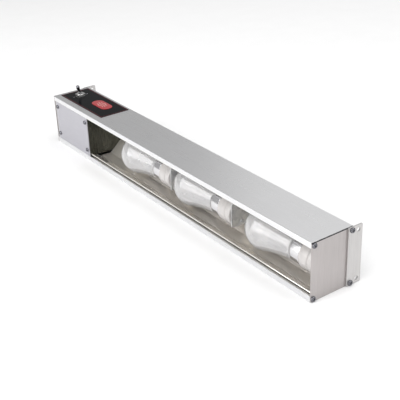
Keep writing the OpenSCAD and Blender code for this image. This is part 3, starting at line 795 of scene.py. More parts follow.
def helix(depth: float, pitch: float, start: float, end: float) -> Bend:
    """Gives the change of radius that makes a rolled screw thread.

    Args:
        depth: Half the depth of the thread.
        pitch: The distance between turns.
        start: Where the thread starts.
        end: Where it ends.

    Returns:
        The bend for Shape.spin.
    """

    def bend(turn: float, radius: float, height: float) -> tuple[float, float]:
        """Moves a point in or out with the thread."""
        fade = max(0.0, min(1.0, (height - start) / pitch, (end - height) / pitch))
        return radius + depth * fade * math.cos(math.tau * height / pitch - turn), height

    return bend


def cross_recess(radius: float, depth: float, width: float) -> Bend:
    """Gives the change of height that sinks a cross into a screw head.

    Args:
        radius: How far the cross reaches.
        depth: How deep it goes at the middle.
        width: Half the width of an arm.

    Returns:
        The bend for Shape.spin.
    """

    def bend(turn: float, r: float, height: float) -> tuple[float, float]:
        """Lowers a point that lies in the cross.

        Args:
            turn: The point's angle.
            r: Its radius.
            height: Its height; points on the seat stay.

        Returns:
            The radius and the changed height.
        """
        if height <= 0.05:
            return r, height
        across = min(abs(r * math.cos(turn)), abs(r * math.sin(turn)))
        inside = max(0.0, min(1.0, (width * 1.35 - across) / (width * 0.5)))
        near = max(0.0, min(1.0, (radius - r) / (radius * 0.3)))
        return r, height - depth * inside * near

    return bend


@dataclass(frozen=True)
class PanScrew:
    """A pan head screw with a cross recess and a rolled thread.

    The shares are parts of the head's radius or height.
    """

    head_r: float
    head_h: float
    shank_r: float
    shank_l: float
    edge_share: float = 0.34
    reach_share: float = 0.62
    sink_share: float = 0.5
    arm_share: float = 0.13
    pitch: float = 0.8
    thread_depth: float = 0.13
    thread_inset: float = 0.14
    point_l: float = 0.6

    def add(self, shape: Shape, place: Matrix) -> None:
        """Adds one screw to a shape.

        Args:
            shape: The shape that grows.
            place: The head's seat, with Z out of the surface.
        """
        edge = self.head_h * self.edge_share
        dome = []
        for turn in evenly(math.pi / 2, 18):
            share = math.sin(turn)
            crown = math.sqrt(max(0.0, 1 - share**4))
            dome.append((self.head_r * share, edge + (self.head_h - edge) * crown))
        sunk = cross_recess(
            self.head_r * self.reach_share,
            self.head_h * self.sink_share,
            self.head_r * self.arm_share,
        )
        shape.spin([*dome, (self.head_r, 0.0), (0.0, 0.0)], place, steps=80, bend=sunk)
        count = int(self.shank_l / (self.pitch / 5))
        inner = self.shank_r - self.thread_inset
        thread = [(inner, depth) for depth in evenly(-self.shank_l, count)]
        shank = [(0.0, 0.0), *thread, (0.0, -self.shank_l - self.point_l)]
        rolled = helix(self.thread_depth, self.pitch, -self.shank_l, 0.0)
        shape.spin(shank, place, steps=20, bend=rolled)


@dataclass
class Channel:
    """The screws that hold the channel's end plates, its brackets and its front cover."""

    boss_inset: float = 3.75
    plate_t: float = 1.2
    bracket_t: float = 1.9
    bracket_y: float = 54.5
    cover_insets: tuple[float, float] = (4.0, 6.4)
    cover_heights: tuple[float, float] = (17.0, 62.5)
    end_screw: PanScrew = PanScrew(3.5, 2.4, 1.62, 13.0)
    cover_screw: PanScrew = PanScrew(3.2, 2.0, 1.42, 4.4)

    def build(self) -> None:
        """Builds the screws of the channel's ends and of the cover."""
        self.end_screws()
        self.cover_screws()

    def end_screws(self) -> None:
        """Puts four screws at each end; the rear pair also clamps the bracket."""
        low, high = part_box("housing")
        shape = Shape()
        inset = self.boss_inset * MM
        for y in (low.y + inset, high.y - inset):
            seat = self.plate_t + (self.bracket_t if y - low.y > self.bracket_y * MM else 0)
            for z in (low.z + inset, high.z - inset):
                self.end_screw.add(shape, facing((1, 0, 0), (high.x + seat * MM, y, z)))
                self.end_screw.add(shape, facing((-1, 0, 0), (low.x - seat * MM, y, z)))
        shape.piece("end_plate_screws", SCREW, Body.FIXED, "screw", ["end_screws"])

    def cover_screws(self) -> None:
        """Puts four screws in the front cover."""
        low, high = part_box("control_cover")
        shape = Shape()
        left, right = self.cover_insets
        for x in (low.x + left * MM, high.x - right * MM):
            for z in self.cover_heights:
                self.cover_screw.add(shape, facing((0, -1, 0), (x, low.y, z * MM)))
        shape.piece("cover_pan_screws", SCREW, Body.FIXED, "screw", ["cover_screws"])


@dataclass
class Reflector:
    """The folded reflector sheet with its rolled hem, and the rivets that hold it.

    The hem and the folds are placed as (depth, height) from the channel's front bottom corner.
    """

    sheet_t: float = 0.8
    fold_r: float = 2.2
    hem_centre: tuple[float, float] = (3.2, 10.9)
    hem_r: float = 0.7
    hem_turn: float = 285.0
    folds: tuple[tuple[float, float], ...] = (
        (18.0, 3.6),
        (36.0, 3.6),
        (61.0, 24.6),
        (61.0, 53.6),
        (36.0, 74.6),
        (9.0, 74.6),
    )
    rivet_xs: tuple[float, ...] = (130.0, 270.0, 406.0, 456.0, 560.0)
    rivet_z: float = 39.0
    rivet_r: float = 3.0
    rivet_h: float = 0.9
    rivet_shank_r: float = 1.6
    rivet_shank_l: float = 1.4
    spans: int = 64

    def build(self) -> None:
        """Builds the sheet and its rivets."""
        self.sheet()
        self.rivets()

    def path(self) -> list[Vector]:
        """Gives the middle line of the sheet across the channel, with rounded folds.

        Returns:
            Points in millimetres from the channel's front bottom corner.
        """
        centre = Vector(self.hem_centre)
        away = Vector(self.folds[0]) - centre
        lean = math.degrees(math.atan2(away.y, away.x))
        touch = lean - math.degrees(math.acos(self.hem_r / away.length))
        hem = arc(self.hem_centre, self.hem_r, touch - self.hem_turn, touch, 22)
        path = [Vector(p) for p in hem]
        turns = [path[-1], *[Vector(f) for f in self.folds]]
        for before, corner, after in zip(turns, turns[1:], turns[2:]):
            one, two = (before - corner).normalized(), (after - corner).normalized()
            reach = self.fold_r / math.tan(one.angle(two) / 2)
            start, end = corner + one * reach, corner + two * reach
            for t in evenly(1.0, 6):
                path.append(start * (1 - t) ** 2 + corner * 2 * t * (1 - t) + end * t * t)
        path.append(turns[-1])
        return path

    def section(self) -> Outline:
        """Gives the closed outline of the sheet across the channel.

        Returns:
            The outline in millimetres.
        """
        path = self.path()
        sides: tuple[Outline, Outline] = ([], [])
        for i, point in enumerate(path):
            along = (path[min(i + 1, len(path) - 1)] - path[max(i - 1, 0)]).normalized()
            across = Vector((-along.y, along.x)) * self.sheet_t / 2
            sides[0].append(tuple(point + across))
            sides[1].append(tuple(point - across))
        return sides[0] + sides[1][::-1]

    def sheet(self) -> None:
        """Draws the section out along the channel."""
        low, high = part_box("reflector")
        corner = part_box("housing")[0]
        section = self.section()
        loops = []
        for along in evenly(high.x - low.x, self.spans):
            x = low.x + along
            loops.append([Vector((x, corner.y + y * MM, z * MM)) for y, z in section])
        shape = Shape()
        shape.layer(loops)
        shape.piece("reflector_sheet", MIRROR, Body.FIXED, "reflector", ["reflector"])

    def rivets(self) -> None:
        """Puts a low domed rivet head on each face of the rear wall."""
        low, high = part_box("reflector_rivets")
        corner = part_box("housing")[0]
        tall, shank_r, depth = self.rivet_h, self.rivet_shank_r, -self.rivet_shank_l
        dome = [(self.rivet_r * math.sin(t), tall * math.cos(t)) for t in evenly(math.pi / 2, 10)]
        head = [*dome, (shank_r, 0.0), (shank_r, depth), (0.0, depth)]
        shape = Shape()
        for x in self.rivet_xs:
            for side, y in ((-1, low.y + tall * MM), (1, high.y - tall * MM)):
                place = facing((0, side, 0), (corner.x + x * MM, y, self.rivet_z * MM))
                shape.spin(head, place, steps=40)
        shape.piece(
            "reflector_rivet_heads", SHELL, Body.FIXED, "sheet_metal", ["reflector_rivets"]
        )


@dataclass
class Lamp:
    """A screw-in lamp: blown glass, stem and filament, rolled base, insulator and contact.

    Distances along the lamp start at the top of its dome.
    """

    key: str
    body: Body
    glass_r: float = 29.0
    glass_l: float = 88.0
    glass_t: float = 0.8
    sweep: float = 110.0
    neck_r: float = 18.0
    shoulder: float = 3.0
    dome_arm: float = 8.0
    neck_arm: tuple[float, float] = (-1.5, 10.0)
    throat_r: float = 11.7
    throat_l: float = 7.0
    rim_r: float = 13.2
    rim_gap: float = 0.2
    base_l: float = 19.0
    base_wall: float = 0.35
    base_end_r: float = 11.4
    base_hole_r: float = 9.6
    thread_r: float = 12.7
    thread_depth: float = 0.25
    pitch: float = 3.63
    blob_r: float = 0.7
    blob_h: float = 0.45
    insulator_l: float = 3.6
    insulator_r: float = 10.4
    insulator_taper: float = 4.8
    insulator_seat_r: float = 9.4
    contact_r: float = 4.8
    contact_l: float = 2.0
    contact_edge: float = 0.5
    stem_top: float = 60.0
    filament_at: float = 34.0
    filament_reach: float = 12.0
    filament_sag: float = 4.0
    coil_r: float = 0.5
    coil_turns: int = 22
    coil_wire_r: float = 0.14
    lead_in_r: float = 0.35

    def __post_init__(self) -> None:
        """Finds the lamp's axis from its packed glass."""
        low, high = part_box(f"bulb_glass_{self.key}")
        middle = (low + high) / 2
        self.place = facing((1, 0, 0), (low.x, middle.y, middle.z))
        self.rim = self.glass_l + self.rim_gap
        self.end = self.rim + self.base_l

    def build(self) -> None:
        """Builds the lamp's pieces."""
        self.glass()
        self.base()
        self.tip()
        self.mount()

    def part(self, shape: Shape, name: str, finish: Finish, slot: str, node: str = "") -> None:
        """Makes one of this lamp's pieces.

        Args:
            shape: Its mesh.
            name: Its name without the lamp's letter.
            finish: Its finish.
            slot: The record's material slot.
            node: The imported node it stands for, without the lamp's letter.
        """
        nodes = [f"{node}_{self.key}"] if node else []
        shape.piece(f"{name}_{self.key}", finish, self.body, slot, nodes)

    def envelope(self, inset: float) -> Outline:
        """Gives the glass outline from the dome over the shoulder to the throat.

        Args:
            inset: How far inside the outer face it lies.

        Returns:
            The outline of (radius, distance).
        """
        r = self.glass_r - inset
        turns = [math.radians(turn) for turn in evenly(self.sweep, 44)]
        dome = [(r * math.sin(t), self.glass_r - r * math.cos(t)) for t in turns]
        start = Vector(dome[-1])
        slope = Vector((math.cos(turns[-1]), math.sin(turns[-1])))
        neck = Vector((self.neck_r - inset, self.glass_l - self.shoulder))
        ends = (start, start + slope * self.dome_arm, neck - Vector(self.neck_arm), neck)
        flank = []
        for t in evenly(1.0, 24)[1:]:
            weights = ((1 - t) ** 3, 3 * t * (1 - t) ** 2, 3 * t * t * (1 - t), t**3)
            flank.append(tuple(sum((e * w for e, w in zip(ends, weights)), Vector((0, 0)))))
        middle = (self.neck_r - self.shoulder, neck.y)
        turned = arc(middle, self.shoulder - inset, 0, 90, 12)[1:]
        throat = self.throat_r - inset
        edge = self.glass_l - inset
        corner = [(throat + 0.3, edge), (throat + 0.08, edge + 0.08), (throat, edge + 0.3)]
        return [*dome, *flank, *turned, *corner, (throat, self.glass_l + self.throat_l)]

    def glass(self) -> None:
        """Blows the thin-walled envelope."""
        shape = Shape()
        outline = self.envelope(0.0) + self.envelope(self.glass_t)[::-1]
        shape.spin(outline, self.place, steps=112)
        self.part(shape, "lamp_glass", LAMP_GLASS, "glass", "bulb_glass")

    def base(self) -> None:
        """Rolls the metal base with its thread and solders the side wire to its rim."""
        rim, end, lip_r = self.rim, self.end, self.throat_r + 0.1
        first, last = rim + 1.6, end - 1.2
        run = [first + s for s in evenly(last - first, 70)]
        lip = [(lip_r, rim + 0.3), *arc((self.rim_r - 0.4, rim + 0.4), 0.4, 250, 360, 8)]
        outer = [*lip, (self.rim_r - 0.1, rim + 0.7), *[(self.thread_r, s) for s in run]]
        bottom = end - self.base_wall
        hole = [(self.base_hole_r, end), (self.base_hole_r, bottom), (11.0, bottom)]
        inner = [(self.thread_r - self.base_wall - 0.55, s) for s in run[::-1]]
        outline = [*outer, (self.base_end_r, end), *hole, *inner, (lip_r, rim + 1.4)]
        thread = helix(self.thread_depth, self.pitch, run[0], run[-1])
        shape = Shape()
        shape.spin(outline, self.place, steps=64, wrap=True, bend=thread)
        spot = self.place @ Matrix.Translation(Vector((-self.rim_r + 0.5, 0, rim + 0.9)) * MM)
        blob = [(self.blob_r * math.sin(t), self.blob_h * math.cos(t)) for t in evenly(math.pi, 8)]
        shape.spin(blob, spot @ Matrix.Rotation(-math.pi / 2, 4, "Y"), steps=16)
        self.part(shape, "lamp_base", ROLLED, "lamp_base", "bulb_base")

    def tip(self) -> None:
        """Fuses the dark insulator into the base and solders the contact on it."""
        start, end = self.end, self.end + self.insulator_l
        cone = []
        for t in evenly(1.0, 10):
            hollow = 0.5 * math.sin(math.pi * t)
            radius = self.insulator_r - self.insulator_taper * t
            cone.append((radius, start + self.insulator_l * t - hollow))
        seat = self.insulator_seat_r
        sunk = [(0.0, start - 1.4), (seat, start - 1.4), (seat, start + 0.1)]
        shape = Shape()
        shape.spin([*sunk, *cone, (0.0, end)], self.place, steps=56)
        self.part(shape, "lamp_insulator", VITRITE, "insulator", "bulb_insulator")
        edge = self.contact_edge
        dome = []
        for t in evenly(math.pi / 2, 10)[:-1]:
            height = end + edge + (self.contact_l - edge) * math.sin(t)
            dome.append((self.contact_r * math.cos(t), height))
        button = [(0.0, end), (self.contact_r, end), *dome, (0.0, end + self.contact_l)]
        shape = Shape()
        shape.spin(button, self.place, steps=40)
        self.part(shape, "lamp_contact", SOLDER, "solder", "bulb_contact")

    def mount(self) -> None:
        """Builds the glass stem, its lead-in wires and the coiled filament."""
        top, foot = self.stem_top, self.glass_l + 2
        tube = [(0.0, top), (1.6, top + 0.3), (2.2, top + 1.4), (2.3, top + 8)]
        flare = [(2.8, top + 14), (4.2, top + 20), (7.2, foot - 1.4), (7.5, foot), (0.0, foot)]
        shape = Shape()
        shape.spin([*tube, *flare], self.place, steps=36)
        self.part(shape, "lamp_stem", STEM_GLASS, "filament", "filament")
        shape = Shape()
        tip, spread = self.filament_at, self.filament_reach
        wires = [((0, -1.2, top + 3), (0, -spread, tip)), ((0, 1.2, top + 3), (0, spread, tip))]
        wires.append(((0, 0, top + 3), (0, 0, tip + self.filament_sag)))
        for wire in wires:
            start, end = [self.place @ (Vector(p) * MM) for p in wire]
            shape.tube([start.lerp(end, t) for t in evenly(1.0, 6)], self.lead_in_r, 10)
        coil = []
        for share in evenly(1.0, self.coil_turns * 12):
            y = -spread + 2 * spread * share
            sag = self.filament_sag * (1 - abs(y) / spread)
            turn = math.tau * self.coil_turns * share
            x, z = self.coil_r * math.cos(turn), tip + sag + self.coil_r * math.sin(turn)
            coil.append(self.place @ (Vector((x, y, z)) * MM))
        shape.tube(coil, self.coil_wire_r, 6)
        self.part(shape, "lamp_filament", WIRE_METAL, "filament")


@dataclass
class Socket:
    """A porcelain lamp socket with its screw shell, on an angle bracket.

    Distances along the socket start at the top of its lamp's dome.
    """

    key: str
    start: float = 105.0
    length: float = 25.0
    radius: float = 20.0
    rim_r: float = 2.4
    heel_r: float = 1.8
    groove_at: float = 15.5
    groove_r: float = 0.75
    bore_r: float = 14.2
    bore_l: float = 13.0
    bore_edge: float = 1.0
    shell_start: float = 90.0
    shell_l: float = 26.0
    shell_r: float = 13.25
    shell_t: float = 0.4
    shell_hole_r: float = 8.0
    thread_depth: float = 0.25
    pitch: float = 3.63
    collar_r: float = 18.8
    collar_t: float = 0.7
    collar_edge: float = 1.2
    contact_at: float = 113.1
    contact_r: float = 4.2
    contact_t: float = 0.6
    rivet_r: float = 2.0

    def __post_init__(self) -> None:
        """Finds the socket's axis from its packed porcelain."""
        low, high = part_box(f"socket_body_{self.key}")
        middle = (low + high) / 2
        self.place = facing((1, 0, 0), (low.x - self.start * MM, middle.y, middle.z))

    def build(self) -> None:
        """Builds the socket's pieces."""
        self.porcelain()
        self.shell()

    def porcelain(self) -> None:
        """Turns the porcelain with a rounded rim, a shallow groove and a bore."""
        front, end, r = self.start, self.start + self.length, self.radius
        floor = front + self.bore_l
        outline = [(0.0, floor), (self.bore_r, floor)]
        edge, rim, heel = self.bore_edge, self.rim_r, self.heel_r
        outline += arc((self.bore_r + edge, front + edge), edge, 180, 270, 6)
        outline += arc((r - rim, front + rim), rim, 270, 360, 10)
        at = front + self.groove_at
        outline += [(r, at - 0.9), *arc((r + 0.55, at), self.groove_r, 250, 110, 8), (r, at + 0.9)]
        outline += arc((r - heel, end - heel), heel, 0, 90, 8)
        shape = Shape()
        shape.spin([*outline, (0.0, end)], self.place, steps=96)
        name, node = f"socket_porcelain_{self.key}", f"socket_body_{self.key}"
        shape.piece(name, PORCELAIN, Body.FIXED, "porcelain", [node])

    def shell(self) -> None:
        """Rolls the threaded shell, and adds its collar and the spring contact."""
        shape = Shape()
        self.threaded_shell(shape)
        self.collar(shape)
        self.contact(shape)
        name, node = f"socket_screw_shell_{self.key}", f"socket_shell_{self.key}"
        shape.piece(name, SHELL, Body.FIXED, "shell", [node])

    def threaded_shell(self, shape: Shape) -> None:
        """Rolls the thread, with a flange behind it.

        Args:
            shape: The shape that grows.
        """
        front, end = self.shell_start, self.shell_start + self.shell_l
        run = [front + 0.9 + s for s in evenly(end - front - 1.8, 84)]
        inner, outer = self.shell_r, self.shell_r + self.shell_t
        back = end - self.shell_t
        outline = [(inner, front), (outer + 0.2, front), *[(outer, s) for s in run]]
        outline += [(outer - 0.5, end), (self.shell_hole_r, end)]
        outline += [(self.shell_hole_r, back), (inner - 0.4, back)]
        outline += [(inner, s) for s in run[::-1]]
        thread = helix(self.thread_depth, self.pitch, run[0], run[-1])
        shape.spin(outline, self.place, steps=64, wrap=True, bend=thread)

    def collar(self, shape: Shape) -> None:
        """Draws the wide collar in front of the porcelain, with a bead near its back edge.

        Args:
            shape: The shape that grows.
        """
        front, back, r, edge = self.shell_start, self.start, self.collar_r, self.collar_edge
        mouth, seam = self.shell_r + 0.1, self.shell_r + self.shell_t + 0.5
        inside = r - self.collar_t
        collar = [(mouth, front + 0.2), (seam, front)]
        collar += arc((r - edge, front + edge), edge, 270, 360, 8)
        dip = r - 0.35
        collar += [(r, back - 1.6), (dip, back - 1.2), (dip, back - 0.8), (r, back - 0.4)]
        collar += [(r, back), (inside, back), (inside, front + 1.6)]
        collar += arc((inside - 0.6, front + 1.3), 0.6, 0, -90, 4)
        collar += [(seam, front + self.collar_t), (mouth, front + self.collar_t)]
        shape.spin(collar, self.place, steps=96, wrap=True)

    def contact(self, shape: Shape) -> None:
        """Adds the contact disc and the rivet that holds it to the porcelain.

        Args:
            shape: The shape that grows.
        """
        at, r, back = self.contact_at, self.contact_r, self.contact_at + self.contact_t
        floor = self.start + self.bore_l
        disc = [(0.0, at), (r - 0.6, at), (r, at + 0.25), (r, back), (0.0, back)]
        shape.spin(disc, self.place, steps=32)
        rivet = [(0.0, back), (self.rivet_r, back), (self.rivet_r, floor), (0.0, floor)]
        shape.spin(rivet, self.place, steps=24)


@dataclass
class SocketScrews:
    """The screws that hold the sockets to their brackets, and the brackets to the channel."""

    foot_l: float = 20.0
    holder_t: float = 1.5
    socket_gap: float = 12.0
    foot_gap: float = 8.0
    into_socket: PanScrew = PanScrew(2.6, 1.6, 1.4, 6.0)
    into_wall: PanScrew = PanScrew(2.6, 1.6, 1.5, 4.2)

    def build(self) -> None:
        """Builds both sets of screws."""
        behind, below = Shape(), Shape()
        for key in "abc":
            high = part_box(f"socket_bracket_{key}")[1]
            body_low, body_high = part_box(f"socket_body_{key}")
            middle = (body_low + body_high) / 2
            foot_x = high.x - (self.holder_t + self.foot_l / 2) * MM
            foot_y = high.y - self.holder_t * MM
            for side in (-1, 1):
                z = middle.z + side * self.socket_gap * MM
                self.into_socket.add(behind, facing((1, 0, 0), (high.x, middle.y, z)))
                z = middle.z + side * self.foot_gap * MM
                self.into_wall.add(below, facing((0, -1, 0), (foot_x, foot_y, z)))
        behind.piece(
            "socket_fixing_screws", ZINC_SCREW, Body.FIXED, "screw", ["socket_screws"]
        )
        below.piece(
            "bracket_fixing_screws", ZINC_SCREW, Body.FIXED, "screw", ["bracket_screws"]
        )


@dataclass
class Controls:
    """The label, badge and toggle switch on top of the switch box."""

    border_inset: float = 1.2
    border_w: float = 0.7
    border_rs: tuple[float, float] = (1.6, 1.0)
    ink_t: float = 0.03
    off_ring_rs: tuple[float, float] = (1.5, 1.1)
    on_bar: tuple[float, float, float] = (0.7, 3.2, 0.34)
    on_bar_inside: tuple[float, float, float] = (0.1, 2.6, 0.04)
    mark_shift: float = 11.5
    badge_r: float = 9.5
    badge_edge: float = 0.42
    wave_reach: float = 13.0
    wave_taper: float = 2.5
    wave_gap: float = 4.2
    wave_rise: float = 1.1
    wave_l: float = 13.0
    wave_half: float = 0.95
    lever_lean: float = 14.0
    lever_l: float = 16.8
    lever_neck: tuple[float, float] = (1.72, 3.4)
    pivot_h: float = 2.0
    tip_r: float = 2.9
    ball_r: float = 2.8
    pin_r: float = 0.7
    pin_l: float = 6.2
    bushing_r: float = 5.75
    bore_r: float = 3.2
    thread_pitch: float = 0.95
    thread_depth: float = 0.18

    def build(self) -> None:
        """Builds the print, the badge, the bushing and the lever."""
        self.print_label()
        self.badge()
        self.bushing()
        self.lever()

    def ink_ring(self, shape: Shape, outer: Outline, inner: Outline, centre: Vector) -> None:
        """Adds a flat printed ring between two outlines of equal length.

        Args:
            shape: The shape that grows.
            outer: The outside outline in millimetres.
            inner: The inside outline in millimetres.
            centre: The ring's centre on the label, in metres.
        """
        loops = []
        for outline, height in ((inner, 0), (outer, 0), (outer, self.ink_t), (inner, self.ink_t)):
            loops.append([centre + Vector((x, y, height)) * MM for x, y in outline])
        shape.layer(loops, wrap=True)

    def print_label(self) -> None:
        """Prints a border on the label, and an on bar and an off ring beside the switch."""
        low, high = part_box("control_label")
        centre = Vector(((low.x + high.x) / 2, (low.y + high.y) / 2, high.z))
        width = (high.x - low.x) / MM - 2 * self.border_inset
        depth = (high.y - low.y) / MM - 2 * self.border_inset
        line, radii = 2 * self.border_w, self.border_rs
        outside = rounded_rectangle(width, depth, radii[0])
        inside = rounded_rectangle(width - line, depth - line, radii[1])
        border = Shape()
        self.ink_ring(border, outside, inside, centre)
        border.piece("label_border_print", RED_INK, Body.FIXED, "label")
        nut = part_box("switch_nut")
        switch = (nut[0] + nut[1]) / 2
        ring = [arc((0, 0), radius, 0, 345, 23) for radius in self.off_ring_rs]
        bar = [rounded_rectangle(*sizes) for sizes in (self.on_bar, self.on_bar_inside)]
        marks = Shape()
        for (outer, inner), shift in ((ring, self.mark_shift), (bar, -self.mark_shift)):
            spot = Vector((switch.x, switch.y + shift * MM, high.z))
            self.ink_ring(marks, outer, inner, spot)
        marks.piece("switch_mark_print", INK, Body.FIXED, "label")

    def badge(self) -> None:
        """Pours the domed red badge, with three pale heat waves."""
        low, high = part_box("badge")
        centre = Vector(((low.x + high.x) / 2, (low.y + high.y) / 2, low.z))
        width, depth, tall = [(high[axis] - low[axis]) / MM for axis in range(3)]

        def height(x: float, y: float) -> float:
            """Gives the dome's height above the label.

            Args:
                x: The distance from the badge's centre along it.
                y: The distance from the badge's centre across it.

            Returns:
                The height in millimetres.
            """
            far = max(abs(2 * x / width), abs(2 * y / depth)) ** 2
            near = (2 * x / width) ** 2 * 0.5 + (2 * y / depth) ** 2 * 0.5
            return tall - (tall - self.badge_edge) * min(1.0, 0.5 * far + 0.5 * near) ** 2

        rim = rounded_rectangle(width, depth, self.badge_r, 12)
        loops = [[centre + Vector((x, y, 0)) * MM for x, y in rim]]
        for turn in evenly(math.pi / 2, 15)[:-1]:
            inner = [(x * math.cos(turn), y * math.cos(turn)) for x, y in rim]
            loops.append([centre + Vector((x, y, height(x, y))) * MM for x, y in inner])
        shape = Shape()
        shape.layer(loops)
        shape.piece("badge_dome", RESIN, Body.FIXED, "badge", ["badge"])
        waves = Shape()
        for row in (-1, 0, 1):
            top = [centre + point * MM for point in self.wave(row, height)]
            waves.layer([[p - Vector((0, 0, 0.1 * MM)) for p in top], top])
        waves.piece("badge_waves", RESIN_PALE, Body.FIXED, "badge")

    def wave(self, row: int, height: Callable[[float, float], float]) -> list[Vector]:
        """Gives the outline of one heat wave on the badge, with blunt ends.

        Args:
            row: -1, 0 or 1 from the front.
            height: Gives the dome's height at a point.

        Returns:
            The outline's points in millimetres from the badge's centre.
        """
        sides: tuple[list[Vector], list[Vector]] = ([], [])
        reach = self.wave_reach - self.wave_taper * abs(row)
        for along in evenly(2 * reach, 40):
            x = -reach + along
            y = row * self.wave_gap + self.wave_rise * math.sin(math.tau * x / self.wave_l + row)
            half = self.wave_half * math.sqrt(max(0.02, 1 - (x / reach) ** 2))
            for side, points in zip((-1, 1), sides):
                points.append(Vector((x, y + side * half, height(x, y + side * half) + 0.02)))
        return sides[0] + sides[1][::-1]

    def bushing(self) -> None:
        """Turns the threaded bushing with a chamfered mouth and a smooth bore."""
        low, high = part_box("switch_bushing")
        middle = (low + high) / 2
        tall = (high.z - low.z) / MM
        thread = helix(self.thread_depth, self.thread_pitch, 0.0, tall - 0.2)

        def outside(turn: float, radius: float, height: float) -> tuple[float, float]:
            """Cuts the thread in the outer face only."""
            return thread(turn, radius, height) if radius > 5.5 else (radius, height)

        outer = [(self.bushing_r, height) for height in evenly(tall, 60)[:-1]]
        outline = [(self.bore_r, 0.0), *outer, (5.35, tall - 0.02), (5.1, tall)]
        outline += [(self.bore_r + 0.5, tall), (self.bore_r, tall - 0.5)]
        shape = Shape()
        place = facing((0, 0, 1), (middle.x, middle.y, low.z))
        shape.spin(outline, place, steps=56, wrap=True, bend=outside)
        shape.piece(
            "switch_threaded_bushing", CHROME, Body.FIXED, "switch_metal", ["switch_bushing"]
        )

    def lever(self) -> None:
        """Turns the bat-shaped lever on its ball and pin, leaning to the open front."""
        low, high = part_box("switch_bushing")
        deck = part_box("housing")[1].z
        pivot = Vector(((low.x + high.x) / 2, (low.y + high.y) / 2, deck + self.pivot_h * MM))
        neck, belly = Vector(self.lever_neck), Vector((self.tip_r, self.lever_l - self.tip_r))
        flare = []
        for t in evenly(1.0, 14)[1:]:
            ease = (t * t * (3 - 2 * t)) ** 1.4
            flare.append((neck.x + (belly.x - neck.x) * ease, neck.y + (belly.y - neck.y) * t))
        outline = [(0.0, -6.0), (1.2, -6.0), (1.4, -5.8), *arc((0, 0), self.ball_r, -60, 45, 14)]
        outline += [(1.8, 2.5), tuple(neck), *flare]
        outline += [*arc((0, belly.y), self.tip_r, 0, 90, 12)[1:-1], (0.0, self.lever_l)]
        lean = Matrix.Rotation(math.radians(self.lever_lean), 4, "X")
        shape = Shape()
        shape.spin(outline, Matrix.Translation(pivot) @ lean, steps=48)
        half = self.pin_l / 2
        pin = [(0.0, -half), (self.pin_r - 0.15, -half), (self.pin_r, 0.15 - half)]
        pin += [(r, -h) for r, h in pin[::-1]]
        shape.spin(pin, facing((1, 0, 0), pivot), steps=24)
        shape.piece("toggle_bat_lever", LEVER_CHROME_PAINTED_REFLECTION, Body.LEVER, "switch_metal", ["toggle_lever"])


@dataclass(frozen=True)
class SoftBox:
    """A square soft light that faces the object: its place and side in metres, and its watts."""

    place: tuple[float, float, float]
    side: float
    power: float


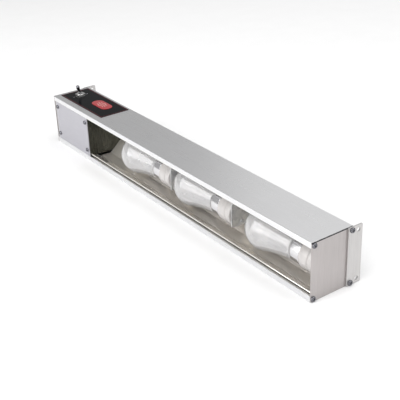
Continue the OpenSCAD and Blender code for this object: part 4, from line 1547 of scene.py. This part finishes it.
@dataclass
class Studio:
    """A pale floor, soft white light and the camera, in metres and degrees."""

    floor_size: float = 14.0
    floor_gap: float = 0.0002
    camera_at: tuple[float, float, float] = (0.9091, -0.6092, 0.5642)
    camera_turn: tuple[float, float, float] = (62.59, 2.01, 53.92)
    lens: float = 78.1
    sensor: float = 36.0
    room_light: float = 0.45
    soft_boxes: tuple[SoftBox, ...] = (
        SoftBox((-0.5, -1.9, 0.6), 1.6, 26.0),
        SoftBox((0.5, -1.3, 1.8), 1.8, 26.0),
        SoftBox((-1.2, 2.1, 1.6), 2.0, 4.5),
        SoftBox((0.5, 1.2, 3.2), 2.4, 42.0),
        SoftBox((1.7, 0.7, 1.2), 1.2, 8.0),
    )

    def build(self) -> None:
        """Builds the floor, the lights and the camera."""
        self.floor()
        self.light()
        self.camera()

    def floor(self) -> None:
        """Lays the floor under the object."""
        mesh = bpy.data.meshes.new("floor")
        half = self.floor_size / 2
        edges = [(-half, -half, 0), (half, -half, 0), (half, half, 0), (-half, half, 0)]
        mesh.from_pydata(edges, [], [(0, 1, 2, 3)])
        mesh.materials.append(FLOOR.material())
        floor = bpy.data.objects.new("floor", mesh)
        floor.location.z = -self.floor_gap
        bpy.context.scene.collection.objects.link(floor)

    def light(self) -> None:
        """Fills the room with white light and hangs the soft boxes."""
        world = bpy.data.worlds.new("white_room")
        bpy.context.scene.world = world
        world.use_nodes = True
        tree = world.node_tree
        tree.nodes.clear()
        sockets = {"Color": (1, 1, 1, 1), "Strength": self.room_light}
        room = add_node(tree, "ShaderNodeBackground", sockets)
        add_node(tree, "ShaderNodeOutputWorld", {"Surface": room.outputs[0]})
        for index, box in enumerate(self.soft_boxes):
            data = bpy.data.lights.new(f"soft_box_{index}", "AREA")
            data.shape = "SQUARE"
            data.size = box.side
            data.energy = box.power
            lamp = bpy.data.objects.new(data.name, data)
            lamp.location = box.place
            lamp.rotation_euler = Vector(box.place).to_track_quat("Z", "Y").to_euler()
            lamp.visible_camera = False
            bpy.context.scene.collection.objects.link(lamp)

    def camera(self) -> None:
        """Places the camera."""
        data = bpy.data.cameras.new("camera")
        data.lens = self.lens
        data.sensor_width = self.sensor
        data.clip_start = 0.01
        camera = bpy.data.objects.new("camera", data)
        camera.location = self.camera_at
        camera.rotation_euler = Euler([math.radians(a) for a in self.camera_turn], "XYZ")
        bpy.context.scene.collection.objects.link(camera)
        bpy.context.scene.camera = camera
        bpy.context.scene.view_settings.view_transform = "Standard"


def dress_kept_nodes(nodes: dict[str, bpy.types.Object]) -> None:
    """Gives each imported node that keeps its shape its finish.

    Args:
        nodes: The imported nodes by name.
    """
    for finish, names in KEPT_NODES.items():
        for name in names:
            mesh = nodes[name].data
            mesh.materials.clear()
            mesh.materials.append(finish.material())
            LOG.info("%s: packed shape, %s", name, finish.name)


def corners(bounds: Sequence[Sequence[float]]) -> list[list[float]]:
    """Turns a box's two corners into plain lists."""
    return [[float(value) for value in corner] for corner in bounds]


def main() -> None:
    """Builds the warmer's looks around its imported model."""
    logging.basicConfig(level=logging.INFO, format="%(name)s: %(message)s")
    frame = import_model()
    Studio().build()
    dress_kept_nodes(frame["nodes"])
    Channel().build()
    Reflector().build()
    for key, body in (("a", Body.LAMP_A), ("b", Body.LAMP_B), ("c", Body.LAMP_C)):
        Lamp(key, body).build()
        Socket(key).build()
    SocketScrews().build()
    Controls().build()


if __name__ == "__main__":
    main()
